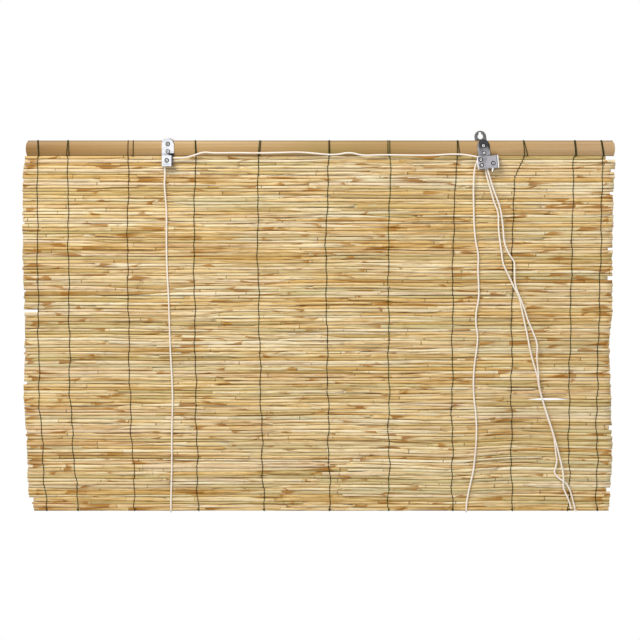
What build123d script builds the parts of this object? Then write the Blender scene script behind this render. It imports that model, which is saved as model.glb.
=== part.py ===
"""Bamboo roll-up blind, let down, hung on the keyholes of its two metal hangers.

Lengths are millimetres. X runs to the right, Y towards the wall and Z up. The origin lies on the
wall, midway between the round holes of the two keyholes. A depth is a distance out from the wall.
"""
import os
from math import cos, hypot, pi, radians, sin, sqrt, tan

from build123d import *

os.makedirs("parts", exist_ok=True)

# Hanging points
keyhole_spacing = 530.0
keyhole_radius = 4.5
keyhole_slot_width = 4.4
keyhole_slot_rise = 5.4

# Head rail, a lath split from a thick bamboo stem
rail_left = -507.5
rail_right = 492.0
rail_top = -7.0
rail_height = 26.3
rail_thickness = 10.75
rail_front_radius = 28.0
rail_hollow = 3.75
rail_lip = 1.3
cord_notch_width = 3.2
left_anchor_aside = -17.0
right_anchor_aside = -24.0
anchor_drop = 5.5

# Reed mat
reed_count = 109
reed_pitch = 5.53
reed_thickness = 4.6
reed_thickness_change = 0.4
reed_thickness_step = 2.4
reed_web = 3.0
mat_offset = 6.0
cut_margin = 1.0
slit_every = 2
slit_height = 0.9
slit_length = 95.0
slit_length_change = 0.5
slit_length_step = 1.7
slit_spread = 420.0
slit_spread_step = 5.1
wide_slit_height = 2.6
wide_slit_length = 66.0
wide_slit_row = 75
wide_slit_x = 377.0

# Ends of the reeds: how far down the mat, and the X that the reeds reach there
left_edge = [
    (0, -509), (45, -513), (190, -512.5), (285, -509), (415, -511), (480, -506), (575, -503), (605, -491),
]
right_edge = [(0, 496), (45, 492), (160, 489), (265, 489), (320, 484), (415, 487), (515, 489), (605, 483)]
edge_raggedness = 2.2
left_edge_step = 2.9
right_edge_step = 4.3
least_edge_step = 0.4
# Reeds that end further in: the reed, and how much its end lies to the right
short_on_left = {20: 4.0, 41: 3.5, 47: 25.0, 69: 4.0, 105: 5.0}
short_on_right = {0: -18.0, 4: -6.0, 11: -6.0, 28: -8.0, 37: -7.0, 83: -5.0, 102: -7.0}

# Warp threads: where each one crosses the rail, and where it passes under the last reed
warp_places = [
    (-487.2, -476.0), (-436.1, -426.0), (-330.6, -324.0), (-219.3, -215.0), (-110.5, -105.0),
    (7.6, 9.0), (109.1, 109.6), (226.1, 217.4), (332.0, 318.4), (425.2, 415.7), (471.2, 463.1),
]
warp_width = 2.6
warp_gauge = 1.1
thread_clearance = 0.15
warp_front_slope = 1.7
warp_back_slope = 22.0

# Cords and their knots
cord_diameter = 2.5
knot_radius = 2.1
knot_length = 5.5
knot_shoulder = 1.4
foot_wrap_radius = 4.05

# Sheet metal of both hangers
hanger_gauge = 1.5
housing_gauge = 1.2
hanger_half_width = 10.0
strap_half_width = 10.3
strap_above_rivet = 10.6
hanger_below_rivet = 5.0
rivet_pitch = 12.4
sheet_bend_radius = 2.2
sheet_corner_radius = 2.4
sheet_clearance = 0.05

# Rivets
rivet_radius = 1.6
rivet_head_radius = 2.7
rivet_head_height = 0.9
rivet_head_bevel = 0.5
rivet_flare_radius = 2.6
eyelet_radius = 1.1
eyelet_depth = 1.6
rivet_clearance = 0.05

# Left hanger and its pulley housing: the upper rivet is placed from the keyhole
left_rivet_aside = -1.2
left_rivet_drop = 13.4
left_tilt = 0.0
left_hanger_tilt = 1.5
left_gap = 5.6
left_cheek = (8.7, -10.5, -37.8, -19.2)
left_wheel_place = (-1.55, -27.74)

# Right hanger and its cord lock: the upper rivet is placed from the keyhole
lock_rivet_aside = 5.0
lock_rivet_drop = 16.0
lock_tilt = 5.0
lock_hanger_tilt = 9.0
lock_gap = 8.0
lock_cheek = (-13.2, 23.6, -39.5, -18.2)
lock_rear_reach = -2.2
lock_wheel_place = (-6.88, -23.61)
lock_roller_place = (-6.01, -33.07)
lock_cam_place = (13.77, -31.39)

# Wheels
wheel_pin_radius = 1.6
wheel_pin_head_overhang = 0.9
pin_tail_height = 0.9
pin_tail_bevel = 0.4
running_clearance = 0.06
side_clearance = 0.3
pitch_radius = 4.3
wheel_radius = 5.3
groove_clearance = 0.15
groove_floor_width = 1.5
groove_side_width = 3.0
groove_mouth_width = 3.2
twin_groove_spacing = 3.5
roller_radius = 3.8
roller_edge = 0.5
roller_pin_radius = 1.6

# Cam of the cord lock
cam_teeth = 8
cam_near_radius = 10.4
cam_far_radius = 11.2
cam_tooth_depth = 0.8
cam_tooth_lean = 0.7
cam_first_angle = 176.0
cam_last_angle = 226.0
cam_web_angles = (100.0, 250.0)
cam_boss_radius = 4.4
cam_tongue_length = 14.6
cam_tongue_angle = 259.0
cam_tongue_root_width = 5.1
cam_tongue_tip_width = 1.5
cam_side_clearance = 0.4

# Values that follow from those above
left_keyhole = -keyhole_spacing / 2
right_keyhole = keyhole_spacing / 2
left_rivet = (left_keyhole + left_rivet_aside, -left_rivet_drop)
lock_rivet = (right_keyhole + lock_rivet_aside, -lock_rivet_drop)
anchor_places = [left_keyhole + left_anchor_aside, right_keyhole + right_anchor_aside]
rail_middle = rail_top - rail_height / 2
rail_bottom = rail_top - rail_height
rail_back = hanger_gauge
rail_front = rail_back + rail_thickness
rail_edge = rail_front - rail_front_radius + sqrt(rail_front_radius**2 - (rail_height / 2) ** 2)
mat_middle = rail_back + mat_offset
mat_top = rail_bottom - thread_clearance
mat_bottom = mat_top - reed_count * reed_pitch
mat_reach = (reed_thickness + reed_thickness_change) / 2
strap_depth = rail_front + sheet_clearance
cheek_depth = strap_depth + housing_gauge
cord_radius = cord_diameter / 2
groove_floor_radius = pitch_radius - cord_radius - groove_clearance


def save(part, name):
    """Give a finished piece its name and write it to its own file."""
    part.label = name
    export_step(part, f"parts/{name}.step")


def facing(x, z, depth, tilt=0.0):
    """A plane parallel to the wall that looks at the viewer, turned by the tilt of the metalwork."""
    turn = radians(tilt)
    return Plane(origin=(x, -depth, z), x_dir=(cos(turn), 0, sin(turn)), z_dir=(0, -1, 0))


def turned(place, rivet, tilt):
    """The X and Z of a point that is given from the upper rivet, along the tilted strap."""
    turn = radians(tilt)
    x = rivet[0] + place[0] * cos(turn) - place[1] * sin(turn)
    z = rivet[1] + place[0] * sin(turn) + place[1] * cos(turn)
    return x, z


def revolved_about(x, z, outline):
    """Turn an outline of (radius, depth) points about an axis square to the wall."""
    with BuildPart() as turned_piece:
        with BuildSketch(Plane(origin=(x, 0, z), x_dir=(1, 0, 0), z_dir=(0, 0, 1))):
            with BuildLine():
                Polyline([(radius, -depth) for radius, depth in outline], close=True)
            make_face()
        revolve(axis=Axis((x, 0, z), (0, 1, 0)))
    return turned_piece.part


# Head rail
left_rivets_at = [left_rivet, turned((0, -rivet_pitch), left_rivet, left_tilt)]
lock_rivets_at = [lock_rivet, turned((0, -rivet_pitch), lock_rivet, lock_tilt)]
anchor_knot_bottom = rail_middle - anchor_drop

with BuildPart() as headrail:
    with BuildSketch(Plane.YZ.offset(rail_left)):
        with BuildLine():
            ThreePointArc((-rail_edge, rail_top), (-rail_front, rail_middle), (-rail_edge, rail_bottom))
            Line((-rail_edge, rail_bottom), (-rail_back, rail_bottom))
            Line((-rail_back, rail_bottom), (-rail_back, rail_bottom + rail_lip))
            ThreePointArc(
                (-rail_back, rail_bottom + rail_lip),
                (-rail_back - rail_hollow, rail_middle),
                (-rail_back, rail_top - rail_lip),
            )
            Line((-rail_back, rail_top - rail_lip), (-rail_back, rail_top))
            Line((-rail_back, rail_top), (-rail_edge, rail_top))
        make_face()
    extrude(amount=rail_right - rail_left)
    with BuildSketch(facing(0, 0, 0)):
        with Locations(*left_rivets_at, *lock_rivets_at):
            Circle(rivet_radius + rivet_clearance)
    extrude(amount=rail_front, mode=Mode.SUBTRACT)
    notch_height = anchor_knot_bottom - rail_bottom
    with BuildSketch(facing(0, 0, 0)):
        with Locations(*[(x, rail_bottom + notch_height / 2) for x in anchor_places]):
            Rectangle(cord_notch_width, notch_height)
    extrude(amount=rail_back + rail_hollow, mode=Mode.SUBTRACT)
save(headrail.part, "headrail")


# Reed mat, one ridged wall with ragged ends and slits between the reeds
def reach_at(edge, drop):
    """How far out the mat reaches at this distance below its top, from the edge's few points."""
    for (drop_a, reach_a), (drop_b, reach_b) in zip(edge, edge[1:]):
        if drop <= drop_b:
            return reach_a + (reach_b - reach_a) * (drop - drop_a) / (drop_b - drop_a)
    return edge[-1][1]


def uneven(number, step):
    """A repeatable value between -1 and 1 that jumps about from one reed to the next."""
    return sin(number * step) * cos(number * number * 0.37)


def reed_z(row):
    """The height of the line between one reed and the reed above it."""
    return mat_top - row * reed_pitch


def reed_half(row):
    """Half the thickness of this reed."""
    return (reed_thickness + reed_thickness_change * sin(row * reed_thickness_step)) / 2


def reed_ends(edge, step, shortened):
    """The X at which each reed ends on one side. No reed ends level with the one above it."""
    ends = []
    for row in range(reed_count):
        end = reach_at(edge, (row + 0.5) * reed_pitch) + edge_raggedness * uneven(row, step)
        end += shortened.get(row, 0)
        if ends and abs(end - ends[-1]) < least_edge_step:
            end = ends[-1] + least_edge_step
        ends.append(end)
    return ends


left_ends = reed_ends(left_edge, left_edge_step, short_on_left)
right_ends = reed_ends(right_edge, right_edge_step, short_on_right)
mat_left = min(left_ends)
mat_right = max(right_ends)

with BuildPart() as reed_mat:
    with BuildSketch(Plane.YZ.offset(mat_left)):
        with BuildLine():
            ridges = []
            for side in (-1, 1):
                valley = -mat_middle + side * reed_web / 2
                for row in range(reed_count):
                    crest = -mat_middle + side * reed_half(row)
                    ridge = [(valley, reed_z(row)), (crest, reed_z(row + 0.5)), (valley, reed_z(row + 1))]
                    ridges.append(ThreePointArc(*ridge, mode=Mode.PRIVATE))
            add(ridges)
            for z in (mat_top, mat_bottom):
                Line((-mat_middle - reed_web / 2, z), (-mat_middle + reed_web / 2, z))
        make_face()
    extrude(amount=mat_right - mat_left)
    with BuildSketch(Plane.XZ.offset(mat_middle)):
        for ends, beyond in ((left_ends, mat_left - cut_margin), (right_ends, mat_right + cut_margin)):
            outline = [(beyond, mat_top)]
            for row in range(reed_count):
                outline += [(ends[row], reed_z(row)), (ends[row], reed_z(row + 1))]
            outline.append((beyond, mat_bottom))
            with BuildLine():
                Polyline(outline, close=True)
            make_face()
    extrude(amount=reed_thickness, both=True, mode=Mode.SUBTRACT)
    with BuildSketch(Plane.XZ.offset(mat_middle)):
        slits = []
        for row in range(1, reed_count, slit_every):
            width = slit_length * (1 + slit_length_change * uneven(row, slit_length_step))
            height = slit_height
            centre = slit_spread * uneven(row, slit_spread_step)
            if row == wide_slit_row:
                width, height, centre = wide_slit_length, wide_slit_height, wide_slit_x
            corners = [(-width / 2, 0), (0, -height / 2), (width / 2, 0), (0, height / 2)]
            slits.append(Pos(centre, reed_z(row)) * Polygon(*corners, mode=Mode.PRIVATE))
        add(slits)
    extrude(amount=reed_thickness, both=True, mode=Mode.SUBTRACT)
save(reed_mat.part, "reed_mat")


# Warp threads, each one a closed loop round the rail and every reed
def warp_outline(clearance, stretch):
    """The arc over the rail and the points of the rest of the loop, at this distance from both."""
    back = -rail_back + clearance
    behind = -(mat_middle - mat_reach) + clearance
    before = -(mat_middle + mat_reach) - clearance
    edge = -rail_edge - clearance
    top = (rail_top - rail_middle + clearance) * stretch
    low = (rail_bottom - rail_middle) * stretch
    foot = (mat_bottom - rail_middle - clearance) * stretch
    over_rail = [(edge, top), (-rail_front - clearance, 0), (edge, low)]
    rest = [
        (edge, low),
        (before, low - warp_front_slope),
        (before, foot),
        (behind, foot),
        (behind, low - warp_back_slope),
        (back, low - 2 * thread_clearance),
        (back, top),
        (edge, top),
    ]
    return over_rail, rest


for number, (x_rail, x_foot) in enumerate(warp_places, start=1):
    drop = rail_middle - mat_bottom
    lean = hypot(x_rail - x_foot, drop)
    up = Vector((x_rail - x_foot) / lean, 0, drop / lean)
    loop_plane = Plane(origin=(x_rail, 0, rail_middle), x_dir=(0, 1, 0), z_dir=(up.Z, 0, -up.X))
    with BuildPart() as warp:
        with BuildSketch(loop_plane):
            for clearance, mode in (
                (thread_clearance + warp_gauge, Mode.ADD),
                (thread_clearance, Mode.SUBTRACT),
            ):
                over_rail, rest = warp_outline(clearance, lean / drop)
                with BuildLine():
                    ThreePointArc(*over_rail)
                    Polyline(*rest)
                make_face(mode=mode)
        extrude(amount=warp_width / 2, both=True)
    save(warp.part, f"warp_{number:02d}")


# Hanger plates, flat on the wall behind the rail, with a keyhole each
def hanger_plate(x, rivets_at, tilt):
    """One hanger plate: its tilt is about the round part of its keyhole."""
    plate_length = hypot(rivets_at[1][0] - x, rivets_at[1][1]) + hanger_below_rivet
    with BuildPart() as plate:
        with BuildSketch(facing(x, 0, 0, tilt)) as outline:
            Circle(hanger_half_width)
            with Locations((0, -plate_length / 2)):
                Rectangle(2 * hanger_half_width, plate_length)
            fillet(outline.vertices().group_by(Axis.Y)[0], sheet_corner_radius)
            Circle(keyhole_radius, mode=Mode.SUBTRACT)
            with Locations((0, keyhole_slot_rise / 2)):
                SlotCenterToCenter(
                    keyhole_slot_rise, keyhole_slot_width, rotation=90, mode=Mode.SUBTRACT
                )
        extrude(amount=hanger_gauge)
        with BuildSketch(facing(0, 0, 0)):
            with Locations(*rivets_at):
                Circle(rivet_radius + rivet_clearance)
        extrude(amount=hanger_gauge, mode=Mode.SUBTRACT)
        for at in rivets_at:
            add(countersink(at), mode=Mode.SUBTRACT)
    return plate.part


def countersink(at):
    """The cone that a rivet's flared tail fills."""
    flare = rivet_flare_radius + rivet_clearance
    shank = rivet_radius + rivet_clearance
    return revolved_about(*at, [(0, 0), (flare, 0), (shank, flare - shank), (0, flare - shank)])


save(hanger_plate(left_keyhole, left_rivets_at, left_hanger_tilt), "left_hanger_plate")
save(hanger_plate(right_keyhole, lock_rivets_at, lock_hanger_tilt), "right_hanger_plate")


# Rivets, flared flush with the wall side and hollow in the head
def rivet(at):
    """One eyelet rivet through hanger plate, rail and strap."""
    flare = rivet_flare_radius - rivet_radius
    head = cheek_depth + rivet_head_height
    outline = [
        (0, sheet_clearance),
        (rivet_flare_radius - sheet_clearance, sheet_clearance),
        (rivet_radius, flare),
        (rivet_radius, cheek_depth),
        (rivet_head_radius, cheek_depth),
        (rivet_head_radius - rivet_head_bevel, head),
        (eyelet_radius, head),
        (eyelet_radius, head - eyelet_depth),
        (0, head - eyelet_depth),
    ]
    return revolved_about(*at, outline)


for name, rivets_at in (("left_rivets", left_rivets_at), ("right_rivets", lock_rivets_at)):
    with BuildPart() as pair:
        for at in rivets_at:
            add(rivet(at))
    save(pair.part, name)


# Strap and pulley housing, folded from one sheet
def housing(rivet_at, tilt, gap, cheek, rear_reach, pins):
    """A strap on the rail that runs down into a rear cheek, folded round into a front cheek.

    The cheek is (open side, folded side, bottom, top) of the front cheek, from the upper rivet. The
    rear cheek goes rear_reach past the open side. The pins are (place, radius) from the same rivet.
    """
    opening, fold, bottom, top = cheek
    inward = 1 if opening > fold else -1
    outer = gap + 2 * housing_gauge
    rear_opening = opening + inward * rear_reach
    strap = facing(*rivet_at, strap_depth, tilt)
    round_centre = strap_above_rivet - strap_half_width
    cheek_top = Plane(origin=strap.origin + strap.y_dir * top, x_dir=strap.x_dir, z_dir=-strap.y_dir)
    with BuildPart() as folded:
        with BuildSketch(cheek_top) as section:
            inside = fold + inward * housing_gauge
            seam = fold + inward * 2 * sheet_bend_radius
            with BuildLine():
                Polyline(
                    (seam, 0),
                    (fold, 0),
                    (fold, outer),
                    (opening, outer),
                    (opening, outer - housing_gauge),
                    (inside, outer - housing_gauge),
                    (inside, housing_gauge),
                    (seam, housing_gauge),
                    close=True,
                )
            make_face()
            fillet(section.vertices().filter_by(lambda v: abs(v.X - fold) < 0.01), sheet_bend_radius)
            inner_bend = sheet_bend_radius - housing_gauge
            fillet(section.vertices().filter_by(lambda v: abs(v.X - inside) < 0.01), inner_bend)
        extrude(amount=top - bottom)
        with BuildSketch(strap) as front_outline:
            with Locations(((fold + opening) / 2, (top + bottom) / 2)):
                Rectangle(abs(fold - opening), top - bottom)
            open_corners = front_outline.vertices().filter_by(lambda v: abs(v.X - opening) < 0.01)
            fillet(open_corners, sheet_corner_radius)
        extrude(amount=outer, mode=Mode.INTERSECT)
        with BuildSketch(strap) as rear_outline:
            with Locations((0, round_centre)):
                Circle(strap_half_width)
            with Locations((0, (round_centre + top) / 2)):
                Rectangle(2 * strap_half_width, round_centre - top)
            with Locations(((seam + rear_opening) / 2, (top + bottom) / 2)):
                Rectangle(abs(seam - rear_opening), top - bottom)
            low_corner = rear_outline.vertices().filter_by(
                lambda v: hypot(v.X - rear_opening, v.Y - bottom) < 0.01
            )
            fillet(low_corner, sheet_corner_radius)
        extrude(amount=housing_gauge)
        with BuildSketch(strap):
            with Locations((0, 0), (0, -rivet_pitch)):
                Circle(rivet_radius + rivet_clearance)
            for place, pin_radius in pins:
                with Locations(place):
                    Circle(pin_radius + rivet_clearance)
        extrude(amount=outer, mode=Mode.SUBTRACT)
    return folded.part


left_pins = [(left_wheel_place, wheel_pin_radius)]
lock_pins = [
    (lock_wheel_place, wheel_pin_radius),
    (lock_roller_place, roller_pin_radius),
    (lock_cam_place, wheel_pin_radius),
]
left_housing = housing(left_rivet, left_tilt, left_gap, left_cheek, 0.0, left_pins)
lock_housing = housing(lock_rivet, lock_tilt, lock_gap, lock_cheek, lock_rear_reach, lock_pins)
save(left_housing, "left_pulley_housing")
save(lock_housing, "lock_housing")


# Pins through both cheeks, with a hollow head in front and a flat one behind
def wheel_pin(at, gap, pin_radius):
    """One riveted pin: the wheel on it runs between the cheeks."""
    front = cheek_depth + gap + housing_gauge
    head_radius = pin_radius + wheel_pin_head_overhang
    head = front + rivet_head_height
    outline = [
        (0, strap_depth - pin_tail_height),
        (head_radius - pin_tail_bevel, strap_depth - pin_tail_height),
        (head_radius, strap_depth),
        (pin_radius, strap_depth),
        (pin_radius, front),
        (head_radius, front),
        (head_radius - rivet_head_bevel, head),
        (eyelet_radius, head),
        (eyelet_radius, head - eyelet_depth),
        (0, head - eyelet_depth),
    ]
    return revolved_about(*at, outline)


left_wheel_at = turned(left_wheel_place, left_rivet, left_tilt)
lock_wheel_at = turned(lock_wheel_place, lock_rivet, lock_tilt)
lock_roller_at = turned(lock_roller_place, lock_rivet, lock_tilt)
lock_cam_at = turned(lock_cam_place, lock_rivet, lock_tilt)

save(wheel_pin(left_wheel_at, left_gap, wheel_pin_radius), "left_pulley_axle")
save(wheel_pin(lock_wheel_at, lock_gap, wheel_pin_radius), "lock_pulley_axle")
save(wheel_pin(lock_roller_at, lock_gap, roller_pin_radius), "lock_roller_axle")
save(wheel_pin(lock_cam_at, lock_gap, wheel_pin_radius), "lock_cam_pivot")


# Grooved wheels and the plain roller
def wheel(at, gap, groove_depths):
    """A wheel with one groove, or two, whose cord runs at the pitch radius."""
    back = cheek_depth + side_clearance
    front = cheek_depth + gap - side_clearance
    bore = wheel_pin_radius + running_clearance
    groove = [
        (wheel_radius, -groove_mouth_width / 2),
        (pitch_radius, -groove_side_width / 2),
        (groove_floor_radius, -groove_floor_width / 2),
        (groove_floor_radius, groove_floor_width / 2),
        (pitch_radius, groove_side_width / 2),
        (wheel_radius, groove_mouth_width / 2),
    ]
    outline = [(bore, back), (wheel_radius, back)]
    for groove_depth in groove_depths:
        outline += [(radius, groove_depth + offset) for radius, offset in groove]
    outline += [(wheel_radius, front), (bore, front)]
    return revolved_about(*at, outline)


left_groove = cheek_depth + left_gap / 2
lock_rear_groove = cheek_depth + lock_gap / 2 - twin_groove_spacing / 2
lock_front_groove = lock_rear_groove + twin_groove_spacing
save(wheel(left_wheel_at, left_gap, [left_groove]), "left_pulley")
save(wheel(lock_wheel_at, lock_gap, [lock_rear_groove, lock_front_groove]), "lock_pulley")

roller_back = cheek_depth + side_clearance
roller_front = cheek_depth + lock_gap - side_clearance
roller_bore = roller_pin_radius + running_clearance
roller_outline = [
    (roller_bore, roller_back),
    (roller_radius - roller_edge, roller_back),
    (roller_radius, roller_back + roller_edge),
    (roller_radius, roller_front - roller_edge),
    (roller_radius - roller_edge, roller_front),
    (roller_bore, roller_front),
]
save(revolved_about(*lock_roller_at, roller_outline), "lock_roller")


# Toothed cam that grips the cords, with a tongue that hangs below the housing
def on_circle(radius, angle):
    """A point of the cam from its pivot, at this angle from the strap's right-hand direction."""
    return radius * cos(radians(angle)), radius * sin(radians(angle))


tooth_points = []
tooth_turn = (cam_last_angle - cam_first_angle) / cam_teeth
for tooth in range(cam_teeth):
    share = tooth / cam_teeth
    tip = cam_near_radius + (cam_far_radius - cam_near_radius) * share
    angle = cam_first_angle + tooth * tooth_turn
    tooth_points.append(on_circle(tip - cam_tooth_depth, angle))
    tooth_points.append(on_circle(tip, angle + cam_tooth_lean * tooth_turn))
tongue_tip = Vector(*on_circle(cam_tongue_length, cam_tongue_angle))
tongue_root = Vector(*on_circle(cam_boss_radius / 2, cam_tongue_angle))
across_tongue = Vector(*on_circle(1, cam_tongue_angle + 90))
tip_half = across_tongue * (cam_tongue_tip_width / 2)
root_half = across_tongue * (cam_tongue_root_width / 2)

with BuildPart() as lock_cam:
    cam_back = cheek_depth + cam_side_clearance
    with BuildSketch(facing(*lock_cam_at, cam_back, lock_tilt)):
        with BuildLine():
            Polyline(
                on_circle(cam_boss_radius, cam_web_angles[0]),
                *tooth_points,
                on_circle(cam_boss_radius, cam_web_angles[1]),
                close=True,
            )
        make_face()
        Circle(cam_boss_radius)
        with BuildLine():
            Polyline(
                tongue_root + root_half,
                tongue_tip + tip_half,
                tongue_tip - tip_half,
                tongue_root - root_half,
                close=True,
            )
        make_face()
        Circle(wheel_pin_radius + running_clearance, mode=Mode.SUBTRACT)
    extrude(amount=lock_gap - 2 * cam_side_clearance)
save(lock_cam.part, "lock_cam")


# Cords: X, depth and Z of each point, chosen by hand along the route
left_cord_points = [
    (anchor_places[0], 2.75, -22.6), (-261.0, 3.4, -638.0), (-261.0, 11.6, -638.0),
    (-260.4, 11.6, -599.4), (-259.4, 11.7, -553.5), (-259.7, 11.6, -500.8), (-257.9, 11.6, -454.9),
    (-258.9, 11.7, -414.1), (-262.1, 11.6, -363.1), (-263.7, 11.6, -312.1), (-264.9, 11.7, -273.0),
    (-267.8, 11.6, -225.4), (-268.8, 11.7, -176.1), (-268.1, 12.1, -130.2), (-270.5, 12.9, -99.6),
    (-272.4, 14.0, -80.9), (-270.6, 15.2, -66.0), (-272.05, 16.2, -51.0), (-272.05, 16.3, -36.84),
    (-257.6, 16.3, -36.84), (-239.7, 15.4, -37.0), (-222.9, 15.0, -33.1), (-206.5, 15.0, -26.6),
    (-187.8, 15.0, -28.7), (-150.4, 15.0, -27.9), (-112.4, 15.0, -28.7), (-75.5, 15.0, -27.8),
    (-42.3, 15.0, -26.9), (-14.4, 15.0, -29.2), (16.1, 15.0, -32.3), (43.2, 15.0, -26.8),
    (63.8, 15.0, -33.0), (94.3, 15.0, -31.5), (128.3, 15.1, -32.0), (179.3, 15.6, -32.8),
    (216.8, 16.8, -30.2), (239.5, 18.6, -31.4), (253.5, 19.25, -35.82), (268.06, 19.25, -35.82),
    (276.9, 19.0, -56.8), (282.2, 18.4, -74.5), (288.3, 17.7, -95.0), (296.0, 17.1, -113.2),
    (300.1, 16.6, -130.2), (303.3, 16.3, -154.0), (304.5, 16.1, -177.8), (311.3, 16.0, -197.4),
    (322.1, 16.0, -212.7), (322.8, 16.0, -230.5), (323.2, 16.0, -250.9), (329.6, 16.0, -268.8),
    (339.1, 16.0, -290.9), (344.9, 16.0, -312.1), (355.1, 16.0, -334.2), (362.3, 16.0, -354.6),
    (360.2, 16.0, -373.3), (362.9, 16.0, -397.1), (364.0, 16.0, -422.6), (368.7, 16.0, -443.0),
    (376.2, 16.0, -466.8), (384.0, 16.0, -490.6), (390.5, 16.0, -511.0), (397.3, 16.0, -536.5),
    (402.7, 16.0, -558.6), (406.5, 16.0, -579.0), (404.8, 15.8, -597.7), (413.3, 15.0, -613.0),
    (418.0, 14.2, -628.3),
]
right_cord_points = [
    (anchor_places[1], 2.75, -22.6), (241.0, 3.4, -638.0), (241.0, 11.6, -638.0),
    (240.5, 11.6, -616.4), (246.7, 11.7, -594.3), (252.8, 11.6, -570.5), (255.8, 11.6, -543.3),
    (258.6, 11.7, -509.3), (257.9, 11.6, -475.3), (254.0, 11.6, -448.1), (252.8, 11.7, -420.9),
    (254.2, 11.6, -390.3), (258.9, 11.6, -361.4), (260.8, 11.7, -339.3), (256.9, 11.6, -318.9),
    (257.6, 11.7, -296.8), (262.5, 11.6, -276.4), (262.0, 11.6, -250.9), (260.6, 11.7, -223.7),
    (262.1, 11.6, -201.6), (256.9, 11.7, -179.5), (254.2, 11.9, -152.3), (253.6, 12.5, -121.7),
    (252.9, 13.4, -91.1), (254.2, 15.6, -56.0), (262.2, 15.75, -35.82), (268.5, 15.75, -35.82),
    (272.6, 15.75, -49.5), (273.5, 15.6, -59.0), (277.4, 15.1, -74.5), (283.2, 14.5, -95.0),
    (289.2, 13.9, -114.9), (296.0, 13.5, -130.2), (295.3, 13.3, -154.7), (298.0, 13.2, -177.8),
    (301.1, 13.1, -198.2),
    (302.8, 13.1, -215.2), (308.9, 13.1, -228.8), (315.7, 13.1, -242.4), (322.1, 13.1, -257.7),
    (330.6, 13.1, -271.3), (334.4, 13.1, -290.0), (339.5, 13.1, -314.7), (344.9, 13.1, -339.3),
    (350.0, 13.1, -367.4), (356.5, 13.1, -390.3), (361.9, 13.1, -407.3), (364.6, 13.1, -429.4),
    (371.8, 13.1, -452.4), (378.2, 13.1, -475.3), (386.4, 13.1, -498.3), (390.8, 13.1, -516.1),
    (392.5, 13.1, -534.8), (395.6, 13.1, -553.5), (390.1, 13.1, -570.5), (398.0, 13.1, -581.4),
    (410.6, 13.1, -588.5), (417.7, 13.1, -602.5), (421.8, 13.1, -618.1), (425.5, 13.1, -632.6),
]
wrap_corners = {
    "left_lift_cord": {1: foot_wrap_radius, 2: foot_wrap_radius, 18: pitch_radius, 38: pitch_radius},
    "right_lift_cord": {1: foot_wrap_radius, 2: foot_wrap_radius, 25: pitch_radius, 26: pitch_radius},
}


def cord_radii(name, route):
    """An arc for each corner, as large as its runs allow, or the size of what the cord goes round."""
    radii = []
    for number in range(1, len(route) - 1):
        before = route[number] - route[number - 1]
        after = route[number + 1] - route[number]
        half_turn = radians(before.get_angle(after)) / 2
        widest = 0.45 * min(before.length, after.length) / tan(half_turn)
        radii.append(wrap_corners[name].get(number, widest))
    return radii


def cord(name, points):
    """A cord along straight runs joined by tangent arcs."""
    route = [Vector(x, -depth, z) for x, depth, z in points]
    radii = cord_radii(name, route)
    with BuildPart() as tube:
        with BuildLine() as path:
            FilletPolyline(*route, radius=radii)
        with BuildSketch(Plane(origin=route[0], z_dir=route[1] - route[0])):
            Circle(cord_radius)
        sweep(path=path.wires()[0])
    length = path.wires()[0].length
    share = tube.part.volume / (pi * cord_radius**2 * length)
    print(name, "length", round(length), "tightest", round(min(radii), 1), "volume share", round(share, 4))
    print("   radii", [round(radius) for radius in radii])
    save(tube.part, name)
    return route


def knot(end, direction):
    """A tied knot that starts at this end of a cord and lies on along its direction."""
    with BuildPart() as tied:
        with BuildSketch(Plane(origin=end, x_dir=direction.cross(Vector(0, 1, 0)), z_dir=Vector(0, 1, 0))):
            with BuildLine():
                Polyline(
                    (0, 0),
                    (cord_radius, 0),
                    (knot_radius, knot_shoulder),
                    (knot_radius, knot_length - knot_shoulder),
                    (cord_radius, knot_length),
                    (0, knot_length),
                    close=True,
                )
            make_face()
        revolve(axis=Axis(end, direction))
    return tied.part


for side, points in (("left", left_cord_points), ("right", right_cord_points)):
    route = cord(f"{side}_lift_cord", points)
    save(knot(route[0], (route[0] - route[1]).normalized()), f"{side}_anchor_knot")
    save(knot(route[-1], (route[-1] - route[-2]).normalized()), f"{side}_pull_knot")
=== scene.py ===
# %% [markdown]
# # A bamboo roll-up blind
# The blind hangs let down from two metal hangers. A split bamboo lath is the head rail, 109 rows of
# thin reeds are the mat, eleven pairs of green or browned threads weave the reeds together, and two
# cotton cords run round the mat, over pulleys and through a cord lock, so that a pull rolls the mat up
# from its foot. The solids of the real construction are loaded first, and everything here is built
# round them, in metres and in the same frame: X to the right, Y towards the wall and Z up.

# %% Load the solids
import random
from math import cos, exp, hypot, pi, radians, sin

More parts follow.
